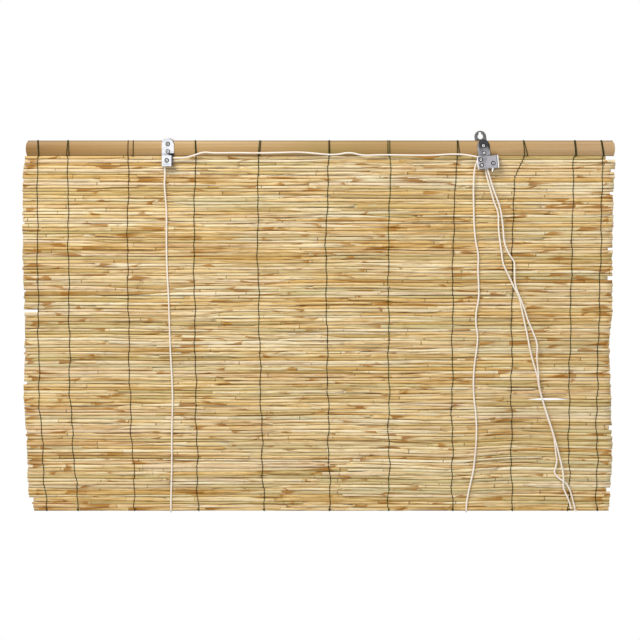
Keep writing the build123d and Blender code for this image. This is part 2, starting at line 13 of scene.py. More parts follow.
import bpy
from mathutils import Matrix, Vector


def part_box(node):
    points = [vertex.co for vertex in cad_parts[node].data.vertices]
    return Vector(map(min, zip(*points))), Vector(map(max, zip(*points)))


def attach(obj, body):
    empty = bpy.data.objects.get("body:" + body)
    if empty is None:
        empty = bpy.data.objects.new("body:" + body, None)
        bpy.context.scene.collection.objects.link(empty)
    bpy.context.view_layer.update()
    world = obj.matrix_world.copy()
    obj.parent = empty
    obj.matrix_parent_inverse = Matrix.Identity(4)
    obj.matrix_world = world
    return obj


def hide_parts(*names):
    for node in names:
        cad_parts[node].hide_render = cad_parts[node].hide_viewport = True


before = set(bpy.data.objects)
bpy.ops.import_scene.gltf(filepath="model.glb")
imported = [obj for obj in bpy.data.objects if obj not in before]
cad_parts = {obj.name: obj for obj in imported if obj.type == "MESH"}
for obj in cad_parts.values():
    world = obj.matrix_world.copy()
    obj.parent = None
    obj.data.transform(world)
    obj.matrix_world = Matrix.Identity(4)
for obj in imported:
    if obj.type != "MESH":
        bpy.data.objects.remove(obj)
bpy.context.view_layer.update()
print("solids loaded:", len(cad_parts), "nodes")

# %% [markdown]
# ## Camera
# The blind was seen straight on, from far enough away that its sides stay parallel. One pixel of the
# 640 pixel view is 1.7 mm at the mat, which gives the width of the view, and a lens for the distance.

# %% Camera
mm = 0.001
view_pixels = 640
pixel_size = 1.7
view_width = view_pixels * pixel_size * mm
view_centre = Vector((-7.65 * mm, -7.5 * mm, -312.1 * mm))
camera_distance = 8.0


def placed(name, data):
    """An object with this mesh, curve, lamp or camera, put into the scene."""
    piece = bpy.data.objects.new(name, data)
    bpy.context.scene.collection.objects.link(piece)
    return piece


camera_data = bpy.data.cameras.new("straight_on_camera")
camera_data.sensor_width = 36.0
camera_data.lens = camera_data.sensor_width * camera_distance / view_width
camera = placed("straight_on_camera", camera_data)
camera.location = view_centre + Vector((0, -camera_distance, 0))
camera.rotation_euler = (radians(90), 0, 0)
bpy.context.scene.camera = camera
print("camera lens", round(camera_data.lens, 1), "mm")

# %% [markdown]
# ## Cord routes
# Each cord is one length of soft cotton. It is knotted in the hollow back of the rail, goes down
# behind the mat, round its foot and up the front, over a pulley and through the lock, and ends beside
# the other one at the foot of the mat. A smooth spline through given points suits a limp cord
# that keeps its old kinks, and points close to a pulley or the foot make the bend there as tight as
# the wheel. The points are the X, Y and Z of each control point.

# %% Cord routes
cord_diameter = 0.0029
left_cord_route = [
    (-0.282, -0.00275, -0.0226), (-0.2616, -0.0034, -0.622), (-0.261, -0.0034, -0.638),
    (-0.261, -0.0116, -0.638), (-0.261, -0.0116, -0.624), (-0.2604, -0.0116, -0.5994),
    (-0.2594, -0.0117, -0.5535), (-0.2597, -0.0116, -0.5008), (-0.2579, -0.0116, -0.4549),
    (-0.2589, -0.0117, -0.4141), (-0.2621, -0.0116, -0.3631), (-0.2637, -0.0116, -0.3121),
    (-0.2649, -0.0117, -0.273), (-0.2678, -0.0116, -0.2254), (-0.2688, -0.0117, -0.1761),
    (-0.2681, -0.0121, -0.1302), (-0.2705, -0.0129, -0.0996), (-0.2724, -0.014, -0.0809),
    (-0.2706, -0.0152, -0.066), (-0.27205, -0.01625, -0.0466), (-0.27205, -0.0163, -0.03684),
    (-0.2624, -0.0163, -0.03684), (-0.2397, -0.0154, -0.037), (-0.2229, -0.015, -0.0331),
    (-0.2065, -0.015, -0.0266), (-0.1878, -0.015, -0.0287), (-0.1504, -0.015, -0.0279),
    (-0.1124, -0.015, -0.0287), (-0.0755, -0.015, -0.0278), (-0.0423, -0.015, -0.0269),
    (-0.0144, -0.015, -0.0292), (0.0161, -0.015, -0.0323), (0.0432, -0.015, -0.0268),
    (0.0638, -0.015, -0.033), (0.0943, -0.015, -0.0315), (0.1283, -0.0151, -0.032),
    (0.1793, -0.0156, -0.0328), (0.2168, -0.0168, -0.0302), (0.2395, -0.0186, -0.0314),
    (0.2619, -0.01925, -0.0356), (0.26806, -0.01925, -0.03582), (0.2709, -0.0192, -0.0425),
    (0.2769, -0.019, -0.0568), (0.2822, -0.0184, -0.0745), (0.2883, -0.0177, -0.095),
    (0.296, -0.0171, -0.1132), (0.3001, -0.0166, -0.1302), (0.3033, -0.0163, -0.154),
    (0.3045, -0.0161, -0.1778), (0.3113, -0.016, -0.1974), (0.3212, -0.016, -0.2112),
    (0.3231, -0.016, -0.2158),
    (0.3228, -0.016, -0.2305), (0.3232, -0.016, -0.2509), (0.3296, -0.016, -0.2688),
    (0.3391, -0.016, -0.2909), (0.3449, -0.016, -0.3121), (0.3551, -0.016, -0.3342),
    (0.3623, -0.016, -0.3546), (0.3602, -0.016, -0.3733), (0.3629, -0.016, -0.3971),
    (0.364, -0.016, -0.4226), (0.3687, -0.016, -0.443), (0.3762, -0.016, -0.4668), (0.384, -0.016, -0.4906),
    (0.3905, -0.016, -0.511), (0.3973, -0.016, -0.5365), (0.4027, -0.016, -0.5586),
    (0.4065, -0.016, -0.579), (0.4048, -0.0158, -0.5977), (0.4133, -0.015, -0.613),
    (0.418, -0.0142, -0.6283),
]
right_cord_route = [
    (0.241, -0.00275, -0.0226), (0.241, -0.0034, -0.622), (0.241, -0.0034, -0.638),
    (0.241, -0.0116, -0.638), (0.2409, -0.0116, -0.624), (0.2467, -0.0117, -0.5943),
    (0.2528, -0.0116, -0.5705), (0.2558, -0.0116, -0.5433), (0.2586, -0.0117, -0.5093),
    (0.2579, -0.0116, -0.4753), (0.254, -0.0116, -0.4481), (0.2528, -0.0117, -0.4209),
    (0.2542, -0.0116, -0.3903), (0.2589, -0.0116, -0.3614), (0.2608, -0.0117, -0.3393),
    (0.2569, -0.0116, -0.3189), (0.2576, -0.0117, -0.2968), (0.2625, -0.0116, -0.2764),
    (0.262, -0.0116, -0.2509), (0.2606, -0.0117, -0.2237), (0.2621, -0.0116, -0.2016),
    (0.2569, -0.0117, -0.1795), (0.2542, -0.0119, -0.1523), (0.2536, -0.0125, -0.1217),
    (0.2529, -0.0134, -0.0911), (0.2542, -0.0156, -0.056), (0.2599, -0.0157, -0.0416),
    (0.2622, -0.01575, -0.03582), (0.2685, -0.01575, -0.03582), (0.2704, -0.01575, -0.0422),
    (0.2726, -0.01575, -0.0495), (0.2735, -0.0156, -0.059), (0.2774, -0.0151, -0.0745),
    (0.2832, -0.0145, -0.095), (0.2892, -0.0139, -0.1149), (0.296, -0.0135, -0.1302),
    (0.2953, -0.0133, -0.1547), (0.298, -0.0132, -0.1778), (0.3011, -0.0131, -0.1982),
    (0.3028, -0.0131, -0.2152), (0.3089, -0.0131, -0.2288), (0.3157, -0.0131, -0.2424),
    (0.3221, -0.0131, -0.2577), (0.3306, -0.0131, -0.2713), (0.3344, -0.0131, -0.29),
    (0.3395, -0.0131, -0.3147), (0.3449, -0.0131, -0.3393), (0.35, -0.0131, -0.3674),
    (0.3565, -0.0131, -0.3903), (0.3619, -0.0131, -0.4073), (0.3646, -0.0131, -0.4294),
    (0.3718, -0.0131, -0.4524), (0.3782, -0.0131, -0.4753), (0.3864, -0.0131, -0.4983),
    (0.3908, -0.0131, -0.5161), (0.3925, -0.0131, -0.5348), (0.3956, -0.0131, -0.5535),
    (0.3902, -0.0131, -0.5683), (0.3908, -0.0131, -0.5726), (0.398, -0.0131, -0.5814),
    (0.4106, -0.0131, -0.5885), (0.4177, -0.0131, -0.6025), (0.4218, -0.0131, -0.6181),
    (0.4255, -0.0131, -0.6326),
]


def tube_curve(name, strands, radius, roundness=3, steps=6):
    """Round tubes as one curve piece. Points are X, Y, Z and, where thinned, a share of the radius."""
    curve = bpy.data.curves.new(name, "CURVE")
    curve.dimensions = "3D"
    curve.bevel_depth = radius
    curve.bevel_resolution = roundness
    curve.resolution_u = steps
    curve.use_fill_caps = True
    for strand in strands:
        spline = curve.splines.new("NURBS")
        spline.points.add(len(strand) - 1)
        for point, (x, y, z, *share) in zip(spline.points, strand):
            point.co = (x, y, z, 1.0)
            point.radius = share[0] if share else 1.0
        spline.order_u = 3
        spline.use_endpoint_u = True
    return placed(name, curve)


left_cord = tube_curve("left_cord", [left_cord_route], cord_diameter / 2)
right_cord = tube_curve("right_cord", [right_cord_route], cord_diameter / 2)
print("cord points:", len(left_cord_route), "and", len(right_cord_route))

# %% [markdown]
# ## Colours and shared effects
# Colours are written as they look on a screen, from 0 to 255, and turned into the linear values that
# Blender's shaders want. Short helpers make one node each, in a material or in a node group. Effects
# that several finishes use are node groups: long fibres along a reed, lath or metal strap, broad
# blotches of age, and the twist of a thread or cord. Each group puts out a mask only.

# %% Colour helper
def tint(red, green, blue):
    """A screen colour from 0 to 255 as the linear colour that a shader takes."""
    def linear(value):
        value /= 255
        return value / 12.92 if value <= 0.04045 else ((value + 0.055) / 1.055) ** 2.4
    return (linear(red), linear(green), linear(blue), 1.0)


# %% Helpers for values and masks
def feed(tree, value, socket):
    """Link another node's output to a socket, or set the socket to a plain value."""
    if hasattr(value, "is_linked"):
        tree.links.new(value, socket)
    else:
        socket.default_value = value


def reckoned(tree, operation, *values, clamp=False):
    """Values put through one Math node."""
    node = tree.nodes.new("ShaderNodeMath")
    node.operation = operation
    node.use_clamp = clamp
    for value, socket in zip(values, node.inputs):
        feed(tree, value, socket)
    return node.outputs[0]


def times(tree, first, second):
    """Two masks or values multiplied."""
    return reckoned(tree, "MULTIPLY", first, second)


def strongest(tree, mask, *others):
    """The strongest of several masks at each point."""
    for other in others:
        mask = reckoned(tree, "MAXIMUM", mask, other)
    return mask


def ranged(tree, value, low, high, to_low=0.0, to_high=1.0, soft=False):
    """A value spread from one range to another, and held inside it."""
    node = tree.nodes.new("ShaderNodeMapRange")
    node.interpolation_type = "SMOOTHSTEP" if soft else "LINEAR"
    for given, socket in zip((value, low, high, to_low, to_high), node.inputs):
        feed(tree, given, socket)
    return node.outputs[0]


# %% Helpers for places, facings and noise
def parts_of(tree, kind, label):
    """The X, Y and Z of what an input node puts out."""
    split = tree.nodes.new("ShaderNodeSeparateXYZ")
    tree.links.new(tree.nodes.new(kind).outputs[label], split.inputs[0])
    return split.outputs


def place_on(tree):
    """The X, Y and Z of each point of the surface, in metres."""
    return parts_of(tree, "ShaderNodeTexCoord", "Object")


def facing_on(tree):
    """The X, Y and Z of the way that the surface faces."""
    return parts_of(tree, "ShaderNodeNewGeometry", "Normal")


def noise_at(tree, place, **settings):
    """Noise at this X, Y and Z, with the other sockets set or linked."""
    joined = tree.nodes.new("ShaderNodeCombineXYZ")
    for value, socket in zip(place, joined.inputs):
        feed(tree, value, socket)
    node = tree.nodes.new("ShaderNodeTexNoise")
    node.noise_dimensions = "4D" if "W" in settings else "3D"
    tree.links.new(joined.outputs[0], node.inputs["Vector"])
    for label, value in settings.items():
        feed(tree, value, node.inputs[label])
    return node.outputs["Fac"]


# %% Node group for fibres
def group_with(name, **inputs):
    """A node group with these inputs: the group, its inputs by name, and the socket for its mask."""
    group = bpy.data.node_groups.new(name, "ShaderNodeTree")
    for label, value in inputs.items():
        socket = group.interface.new_socket(name=label, in_out="INPUT", socket_type="NodeSocketFloat")
        socket.default_value = value
    group.interface.new_socket(name="Mask", in_out="OUTPUT", socket_type="NodeSocketFloat")
    given = group.nodes.new("NodeGroupInput").outputs
    return group, given, group.nodes.new("NodeGroupOutput").inputs["Mask"]


def fibre_group():
    """Fine streaks along X: Along and Across say how many there are to a metre each way."""
    group, given, mask = group_with("long_fibres", Shift=0.0, Along=14.0, Across=900.0, Contrast=0.6)
    x, y, z = place_on(group)
    along = reckoned(group, "MULTIPLY_ADD", x, given["Along"], given["Shift"])
    across = [times(group, part, given["Across"]) for part in (y, z)]
    streaks = noise_at(group, (along, *across), Scale=1.0, Detail=3.0, Roughness=0.6)
    low, high = (reckoned(group, "MULTIPLY_ADD", given["Contrast"], half, 0.5) for half in (-0.5, 0.5))
    group.links.new(ranged(group, streaks, 0.32, 0.68, low, high), mask)
    return group


long_fibres = fibre_group()
print("node group:", long_fibres.name)


# %% Node group for blotches
def blotch_group():
    """Soft patches: Size is how many there are to a metre, Cover is how much of the surface they take."""
    group, given, mask = group_with("age_blotches", Shift=0.0, Size=30.0, Stretch=0.2, Cover=0.4)
    x, y, z = place_on(group)
    place = (times(group, x, given["Stretch"]), y, z)
    patches = noise_at(group, place, W=given["Shift"], Scale=given["Size"], Detail=2.5)
    edge = reckoned(group, "MULTIPLY_ADD", given["Cover"], -0.4, 0.68)
    inside = reckoned(group, "ADD", edge, 0.14)
    group.links.new(ranged(group, patches, edge, inside, soft=True), mask)
    return group


age_blotches = blotch_group()
print("node group:", age_blotches.name)


# %% Node group for twisted strands
def twist_group():
    """The strands of a thread or cord: Turns is how close they lie, Waver how unevenly they run."""
    group, given, mask = group_with("strand_twist", Turns=170.0, Waver=0.8)
    bands = group.nodes.new("ShaderNodeTexWave")
    bands.bands_direction = "DIAGONAL"
    place = group.nodes.new("ShaderNodeTexCoord").outputs["Object"]
    for value, label in ((place, "Vector"), (given["Turns"], "Scale"), (given["Waver"], "Distortion")):
        group.links.new(value, bands.inputs[label])
    group.links.new(bands.outputs["Fac"], mask)
    return group


strand_twist = twist_group()
print("node group:", strand_twist.name)


# %% Helpers for materials
def new_material(name):
    """A material with a bare Principled shader, and its node tree."""
    material = bpy.data.materials.new(name)
    material.use_nodes = True
    tree = material.node_tree
    return material, tree, tree.nodes["Principled BSDF"]


def placed_group(tree, group, **values):
    """The mask of a node group placed in this tree, with its inputs set or linked."""
    node = tree.nodes.new("ShaderNodeGroup")
    node.node_tree = group
    for label, value in values.items():
        feed(tree, value, node.inputs[label])
    return node.outputs["Mask"]


def mixed(tree, mask, first, second):
    """Two colours mixed by a mask. Each is a colour or another node's output."""
    node = tree.nodes.new("ShaderNodeMix")
    node.data_type = "RGBA"
    for number, value in ((0, mask), (6, first), (7, second)):
        feed(tree, value, node.inputs[number])
    return node.outputs[2]


def bumped(tree, shader, height, strength, distance):
    """Raise the surface by a height from 0 to 1."""
    node = tree.nodes.new("ShaderNodeBump")
    node.inputs["Strength"].default_value = strength
    node.inputs["Distance"].default_value = distance
    tree.links.new(height, node.inputs["Height"])
    tree.links.new(node.outputs[0], shader.inputs["Normal"])


def attribute(tree, name):
    """A value that the mesh carries at each of its points."""
    node = tree.nodes.new("ShaderNodeAttribute")
    node.attribute_name = name
    return node.outputs["Fac"]


# %% [markdown]
# ## Reed finish
# A reed is a thin hollow grass stem. Its skin runs from tan to cream, a little darker on one side of
# each joint and paler on the other, some stems stay greenish or pink, and strips of the dry brown leaf
# sheath are left on it. Painted shade darkens the seams where two reeds touch, most on each reed's
# underside. Every reed carries its own tone and the places of its sheaths and joints as values on its
# mesh, and the material turns those into colour. The joint value also paints shade inside the hollow
# of each blunt cut end.

# %% Reed material
def ramp_of(tree, value, stops):
    """A colour ramp through these (position, colour) stops."""
    ramp = tree.nodes.new("ShaderNodeValToRGB")
    tree.links.new(value, ramp.inputs[0])
    while len(ramp.color_ramp.elements) < len(stops):
        ramp.color_ramp.elements.new(0.5)
    for element, (position, colour) in zip(ramp.color_ramp.elements, stops):
        element.position = position
        element.color = colour
    return ramp.outputs[0]


def painted_seam_shade(tree):
    """Painted shade where a reed meets the next: strong on its underside, faint on its upper side, and
    patchy.
    """
    upward = facing_on(tree)["Z"]
    below = times(tree, ranged(tree, upward, -0.35, -0.93), 0.95)
    above = times(tree, ranged(tree, upward, 0.8, 1.0), 0.4)
    here_and_there = placed_group(tree, age_blotches, Shift=6.0, Size=150.0, Stretch=0.12, Cover=0.62)
    patchy = ranged(tree, here_and_there, 0.0, 1.0, 0.16, 1.0)
    return times(tree, strongest(tree, below, above), patchy)


def reed_finish():
    """Tan to cream stems with fibres, frayed brown sheaths, dark joints, and painted shade in the seams and
    inside cut ends.
    """
    material, tree, shader = new_material("dry_reed")
    tone = attribute(tree, "tone")
    warmth = attribute(tree, "warmth")
    shift = times(tree, warmth, 91.0)
    fine = placed_group(tree, long_fibres, Shift=shift, Along=16.0, Across=1300.0, Contrast=1.0)
    broad = placed_group(tree, long_fibres, Shift=shift, Along=12.0, Across=680.0, Contrast=1.0)
    uneven_tone = reckoned(tree, "ADD", tone, ranged(tree, broad, 0.0, 1.0, -0.5, 0.5), clamp=True)
    skin = ramp_of(tree, uneven_tone, [
        (0.0, tint(176, 132, 70)),
        (0.2, tint(221, 181, 114)),
        (0.45, tint(243, 212, 151)),
        (0.7, tint(254, 233, 181)),
        (1.0, tint(255, 243, 208)),
    ])
    skin = mixed(tree, ranged(tree, warmth, 0.55, 1.0, 0.0, 0.6), skin, tint(232, 190, 112))
    skin = mixed(tree, ranged(tree, warmth, 0.3, 0.0, 0.0, 0.4), skin, tint(226, 184, 146))
    skin = mixed(tree, times(tree, attribute(tree, "green"), 0.6), skin, tint(186, 176, 116))
    skin = mixed(tree, ranged(tree, fine, 0.3, 1.0, 0.0, 0.4), skin, tint(176, 134, 78))
    aged = placed_group(tree, age_blotches, Shift=17.0, Size=9.0, Stretch=0.7, Cover=0.5)
    skin = mixed(tree, times(tree, aged, 0.06), skin, tint(168, 120, 66))
    flecks = placed_group(tree, age_blotches, Shift=shift, Size=330.0, Stretch=0.16, Cover=0.36)
    skin = mixed(tree, times(tree, flecks, 0.3), skin, tint(150, 104, 50))
    far_shift = reckoned(tree, "ADD", shift, 40.0)
    streaks = placed_group(tree, long_fibres, Shift=far_shift, Along=9.0, Across=560.0, Contrast=1.0)
    skin = mixed(tree, ranged(tree, streaks, 0.7, 0.82, 0.0, 0.55), skin, tint(146, 94, 32))
    fray = times(tree, fine, 0.5)
    sheath_mask = ranged(tree, reckoned(tree, "SUBTRACT", attribute(tree, "sheath"), fray), 0.0, 0.25)
    sheath_colour = mixed(tree, broad, tint(138, 82, 22), tint(198, 142, 62))
    skin = mixed(tree, times(tree, sheath_mask, 0.85), skin, sheath_colour)
    # Dark joints, and painted shade inside the hollow of blunt cut ends.
    skin = mixed(tree, times(tree, attribute(tree, "joint"), 0.85), skin, tint(84, 48, 22))
    # Painted shade in the seams between reeds, mixed in as a dark brown.
    skin = mixed(tree, painted_seam_shade(tree), skin, tint(84, 46, 6))
    tree.links.new(skin, shader.inputs["Base Color"])
    tree.links.new(ranged(tree, fine, 0.0, 1.0, 0.42, 0.62), shader.inputs["Roughness"])
    shader.inputs["Specular IOR Level"].default_value = 0.03
    bumped(tree, shader, fine, 0.6, 0.00025)
    return material


dry_reed = reed_finish()
print("material:", dry_reed.name)

# %% [markdown]
# ## Reed mat
# Each of the 109 rows is a lane that several reeds share. A reed is one tapering tube that bends a
# little and swells at its joints. Where one reed takes over from another, either both taper past each
# other, or one lies in front of the other and ends in a blunt, hollow cut. A tube with its own rings was
# chosen over a modifier, because a ring can then sit exactly where a joint, a sheath or a cut is. The
# rows, their ragged ends and the one wide slit follow the solid mat, which the reeds replace. Numbers
# of the mat, the threads and the lath are in millimetres, with depths counted from the wall, and become
# metres where points are made.

# %% Rows of the mat
reed_count = 109
reed_pitch = 5.53
mat_top = -33.45
mat_foot = mat_top - reed_count * reed_pitch
mat_middle = 7.5
reed_depth_half = 2.25
# How far the mat reaches to the left and right: (distance below its top, X). A few rows end short of
# that, by the amounts in the two tables that follow.
left_edge = [
    (0, -509), (45, -513), (190, -512.5), (285, -509), (415, -511), (480, -506), (575, -503), (605, -491),
]
right_edge = [(0, 496), (45, 492), (160, 489), (265, 489), (320, 484), (415, 487), (515, 489), (605, 483)]
edge_raggedness = 1.2
short_on_left = {20: 4.0, 41: 3.5, 47: 25.0, 69: 4.0, 105: 5.0}
short_on_right = {0: -18.0, 4: -6.0, 11: -6.0, 28: -8.0, 37: -7.0, 83: -5.0, 102: -7.0}
wide_slit = {"line": 75, "x": 380.0, "half_length": 35.0, "half_height": 1.9}
raised_lines = {74: 0.9, 75: 1.5}  # the two lines that the slit pushes up, and how far
line_waves = ((0.5, 1300), (0.35, 560), (0.3, 250), (0.24, 120))  # (size, length) of each wave of a line
largest_lift = 1.05
chance = random.Random(20)


def reach_at(edge, drop):
    """The X that the mat reaches at this distance below its top, from the edge's few points."""
    for (drop_a, reach_a), (drop_b, reach_b) in zip(edge, edge[1:]):
        if drop <= drop_b:
            return reach_a + (reach_b - reach_a) * (drop - drop_a) / (drop_b - drop_a)
    return edge[-1][1]


def uneven(number, step):
    """A repeatable value between -1 and 1 that jumps about from one reed to the next."""
    return sin(number * step) * cos(number * number * 0.37)


def wandering_line():
    """How the line between two rows strays up and down: a lift, and a few (size, rate, phase) waves."""
    waves = []
    for size, wavelength in line_waves:
        waves.append((size * chance.uniform(0.4, 1.2), 2 * pi / wavelength, chance.uniform(0, 2 * pi)))
    return chance.uniform(-largest_lift, largest_lift), waves


wandering_lines = [wandering_line() for _ in range(reed_count + 1)]
for line, lift in raised_lines.items():
    wandering_lines[line] = (lift, wandering_lines[line][1])
# Where the mat has been pulled askew: the middle of the place, how steep the lines lie and its reach.
leaning_places = [
    {"x": 273.0, "height": -545.0, "slope": 0.07, "across": 95.0, "down": 60.0},
    {"x": -60.0, "height": -470.0, "slope": 0.022, "across": 110.0, "down": 55.0},
    {"x": -330.0, "height": -330.0, "slope": -0.02, "across": 90.0, "down": 60.0},
    {"x": 120.0, "height": -230.0, "slope": -0.018, "across": 100.0, "down": 60.0},
]


def lean_at(x, level):
    """How far the lines near here lean up or down as a group."""
    lift = 0.0
    for place in leaning_places:
        aside = (x - place["x"]) / place["across"]
        above = (level - place["height"]) / place["down"]
        lift += place["slope"] * place["across"] * aside * exp(-aside * aside - above * above)
    return lift


def line_height(line, x, side):
    """The height of the line between two rows at this X. side is 1 above the line and -1 below it."""
    level = mat_top - line * reed_pitch
    if line in (0, reed_count):
        return level
    lift, waves = wandering_lines[line]
    level += lean_at(x, level)
    level += lift + sum(size * sin(x * rate + phase) for size, rate, phase in waves)
    if line == wide_slit["line"]:
        share = (x - wide_slit["x"]) / wide_slit["half_length"]
        level += side * wide_slit["half_height"] * max(0.0, 1 - share * share)
    return level


left_ends = []
right_ends = []
for row in range(reed_count):
    drop = (row + 0.5) * reed_pitch
    left = reach_at(left_edge, drop) + edge_raggedness * uneven(row, 2.9)
    right = reach_at(right_edge, drop) + edge_raggedness * uneven(row, 4.3)
    left_ends.append(left + short_on_left.get(row, 0))
    right_ends.append(right + short_on_right.get(row, 0))
print("rows:", reed_count, "from X", round(min(left_ends)), "to", round(max(right_ends)), "mm")


# %% How the reeds of one row take over from each other
reed_lengths = (150, 430)
shared_part = (0.2, 0.6)  # the share of a reed that lies beside the next one
taper_chance = 0.68  # how often two reeds taper past each other
least_after_meeting = 60
shortest_last_reed = 90


def smooth(value):
    """A step from 0 to 1 with soft ends."""
    value = min(max(value, 0.0), 1.0)
    return value * value * (3 - 2 * value)


def take_over(start, end):
    """How two reeds share the lane from start to end: past each other, or one before the other."""
    kind = "past" if chance.random() < taper_chance else chance.choice(("old_in_front", "new_in_front"))
    return {
        "kind": kind,
        "start": start,
        "end": end,
        "old_is_upper": chance.random() < 0.5,
        "front_width": chance.uniform(0.5, 0.85),
        "tip": chance.uniform(0.14, 0.34),
    }


def row_of_reeds(row):
    """The reeds of one row: where each starts and ends, and how it meets the one before and after."""
    reeds = []
    start = left_ends[row]
    joined = None
    while True:
        end = start + chance.uniform(*reed_lengths)
        if joined:
            end = max(end, joined["end"] + least_after_meeting)
        if end > right_ends[row] - shortest_last_reed:
            reeds.append((start, right_ends[row], joined, None))
            return reeds
        earliest = joined["end"] + 4 if joined else start + 30
        following = take_over(max(earliest, end - chance.uniform(*shared_part) * (end - start)), end)
        reeds.append((start, end, joined, following))
        joined = following
        start = following["start"]


rows = [row_of_reeds(row) for row in range(reed_count)]
print("reeds:", sum(len(reeds) for reeds in rows))


# %% The room that a reed has in its lane
side_step = 28  # a reed moves in front of or behind its neighbour over this length


def past_share(meeting, x, old):
    """Lower and upper limit, from 0 to 1, where two reeds taper past each other."""
    along = (x - meeting["start"]) / (meeting["end"] - meeting["start"])
    along = 0.5 * along + 0.5 * smooth(along)
    part = meeting["tip"] + (1 - meeting["tip"]) * (1 - along if old else along)
    return (1 - part, 1.0) if old == meeting["old_is_upper"] else (0.0, part)


def room_at(x, before, after):
    """The limits of a reed in its lane at this X, and how far it is pushed to the front or back."""
    low, high, push = 0.0, 1.0, 0.0
    for meeting, old in ((before, False), (after, True)):
        if not meeting:
            continue
        inside = x - meeting["start"] if old else meeting["end"] - x
        if meeting["kind"] == "past":
            if inside > 0:
                low, high = past_share(meeting, x, old)
            continue
        in_front = (meeting["kind"] == "old_in_front") == old
        push = (1 if in_front else -1) * smooth(inside / side_step + 1)
        if in_front:
            width = 1 - (1 - meeting["front_width"]) * smooth(inside / side_step)
            if meeting["old_is_upper"]:
                low = 1 - width
            else:
                high = width
    return low, high, push


# %% Joints and sheaths of one reed
ring_spacing = 11
least_step = 0.25
least_joint = 0.25  # a fainter joint than this gets no rings of its own
joint_spacing = (45, 140)
joint_reach = 1.5
joint_margin = 4  # no joint lies closer than this to a reed's end
joint_sheath_chance = 0.42
tip_sheath_chance = 0.36
sheath_rings = (0.08, 0.16, 0.25)  # where a sheath needs rings, as shares of its length


def reed_marks(start, end):
    """The joints of one reed, and its sheaths as (from, length with a sign, strength, turn)."""
    joints = []
    sheaths = []
    place = start + chance.uniform(-80, 60)
    while place < end - joint_margin:
        if place > start + joint_margin:
            joints.append((place, chance.random() ** 2, chance.uniform(0, 2 * pi)))
            if chance.random() < joint_sheath_chance:
                length = chance.choice((-1, 1)) * chance.uniform(14, 90)
                sheaths.append((place, length, chance.uniform(0.6, 1.5), chance.uniform(-2.2, 2.2)))
        place += chance.uniform(*joint_spacing)
    for tip, towards in ((start, 1), (end, -1)):
        if chance.random() < tip_sheath_chance:
            length = towards * chance.uniform(18, 70)
            sheaths.append((tip, length, chance.uniform(0.7, 1.4), chance.uniform(-2.0, 2.0)))
    return joints, sheaths


def ring_places(start, end, joints, sheaths):
    """The X of each ring of a reed: evenly along it, and where a joint or sheath needs one."""
    count = max(3, round((end - start) / ring_spacing))
    places = [start + (end - start) * step / count for step in range(count + 1)]
    for joint, strength, _ in joints:
        if strength > least_joint:
            places += [joint - joint_reach, joint, joint + joint_reach]
    places += [first + (0.3 if length > 0 else -0.3) for first, length, _, _ in sheaths]
    places += [first + length * share for first, length, _, _ in sheaths for share in sheath_rings]
    places = sorted(place for place in places if start <= place <= end)
    kept = [start]
    for place in places:
        if place - kept[-1] > least_step and end - place > least_step:
            kept.append(place)
    return kept + [end]


# %% One reed as rings
ring_points = 10
lane_fill = 1.08  # reeds press on each other a little, so each is wider than its lane
bare_end_length = 16
sway_length = 130
# The darkness of a cut end's rings is painted shade inside the hollow stem.
cut_rings = ((0.6, 0.0, 0.6), (0.5, 1.6, 1.0))  # a cut end: (share of the width, how far in, darkness)
tone_middle, tone_spread = 0.7, 0.27


def add_ring(points, values, x, depth, height, half, deep, wobble, values_at):
    """Add one ring of points, and the values at each of them."""
    for step in range(ring_points):
        angle = 2 * pi * step / ring_points
        y = -(depth + deep * wobble[step] * cos(angle))
        points.append((x * mm, y * mm, (height + half * wobble[step] * sin(angle)) * mm))
        values.append(values_at(angle))


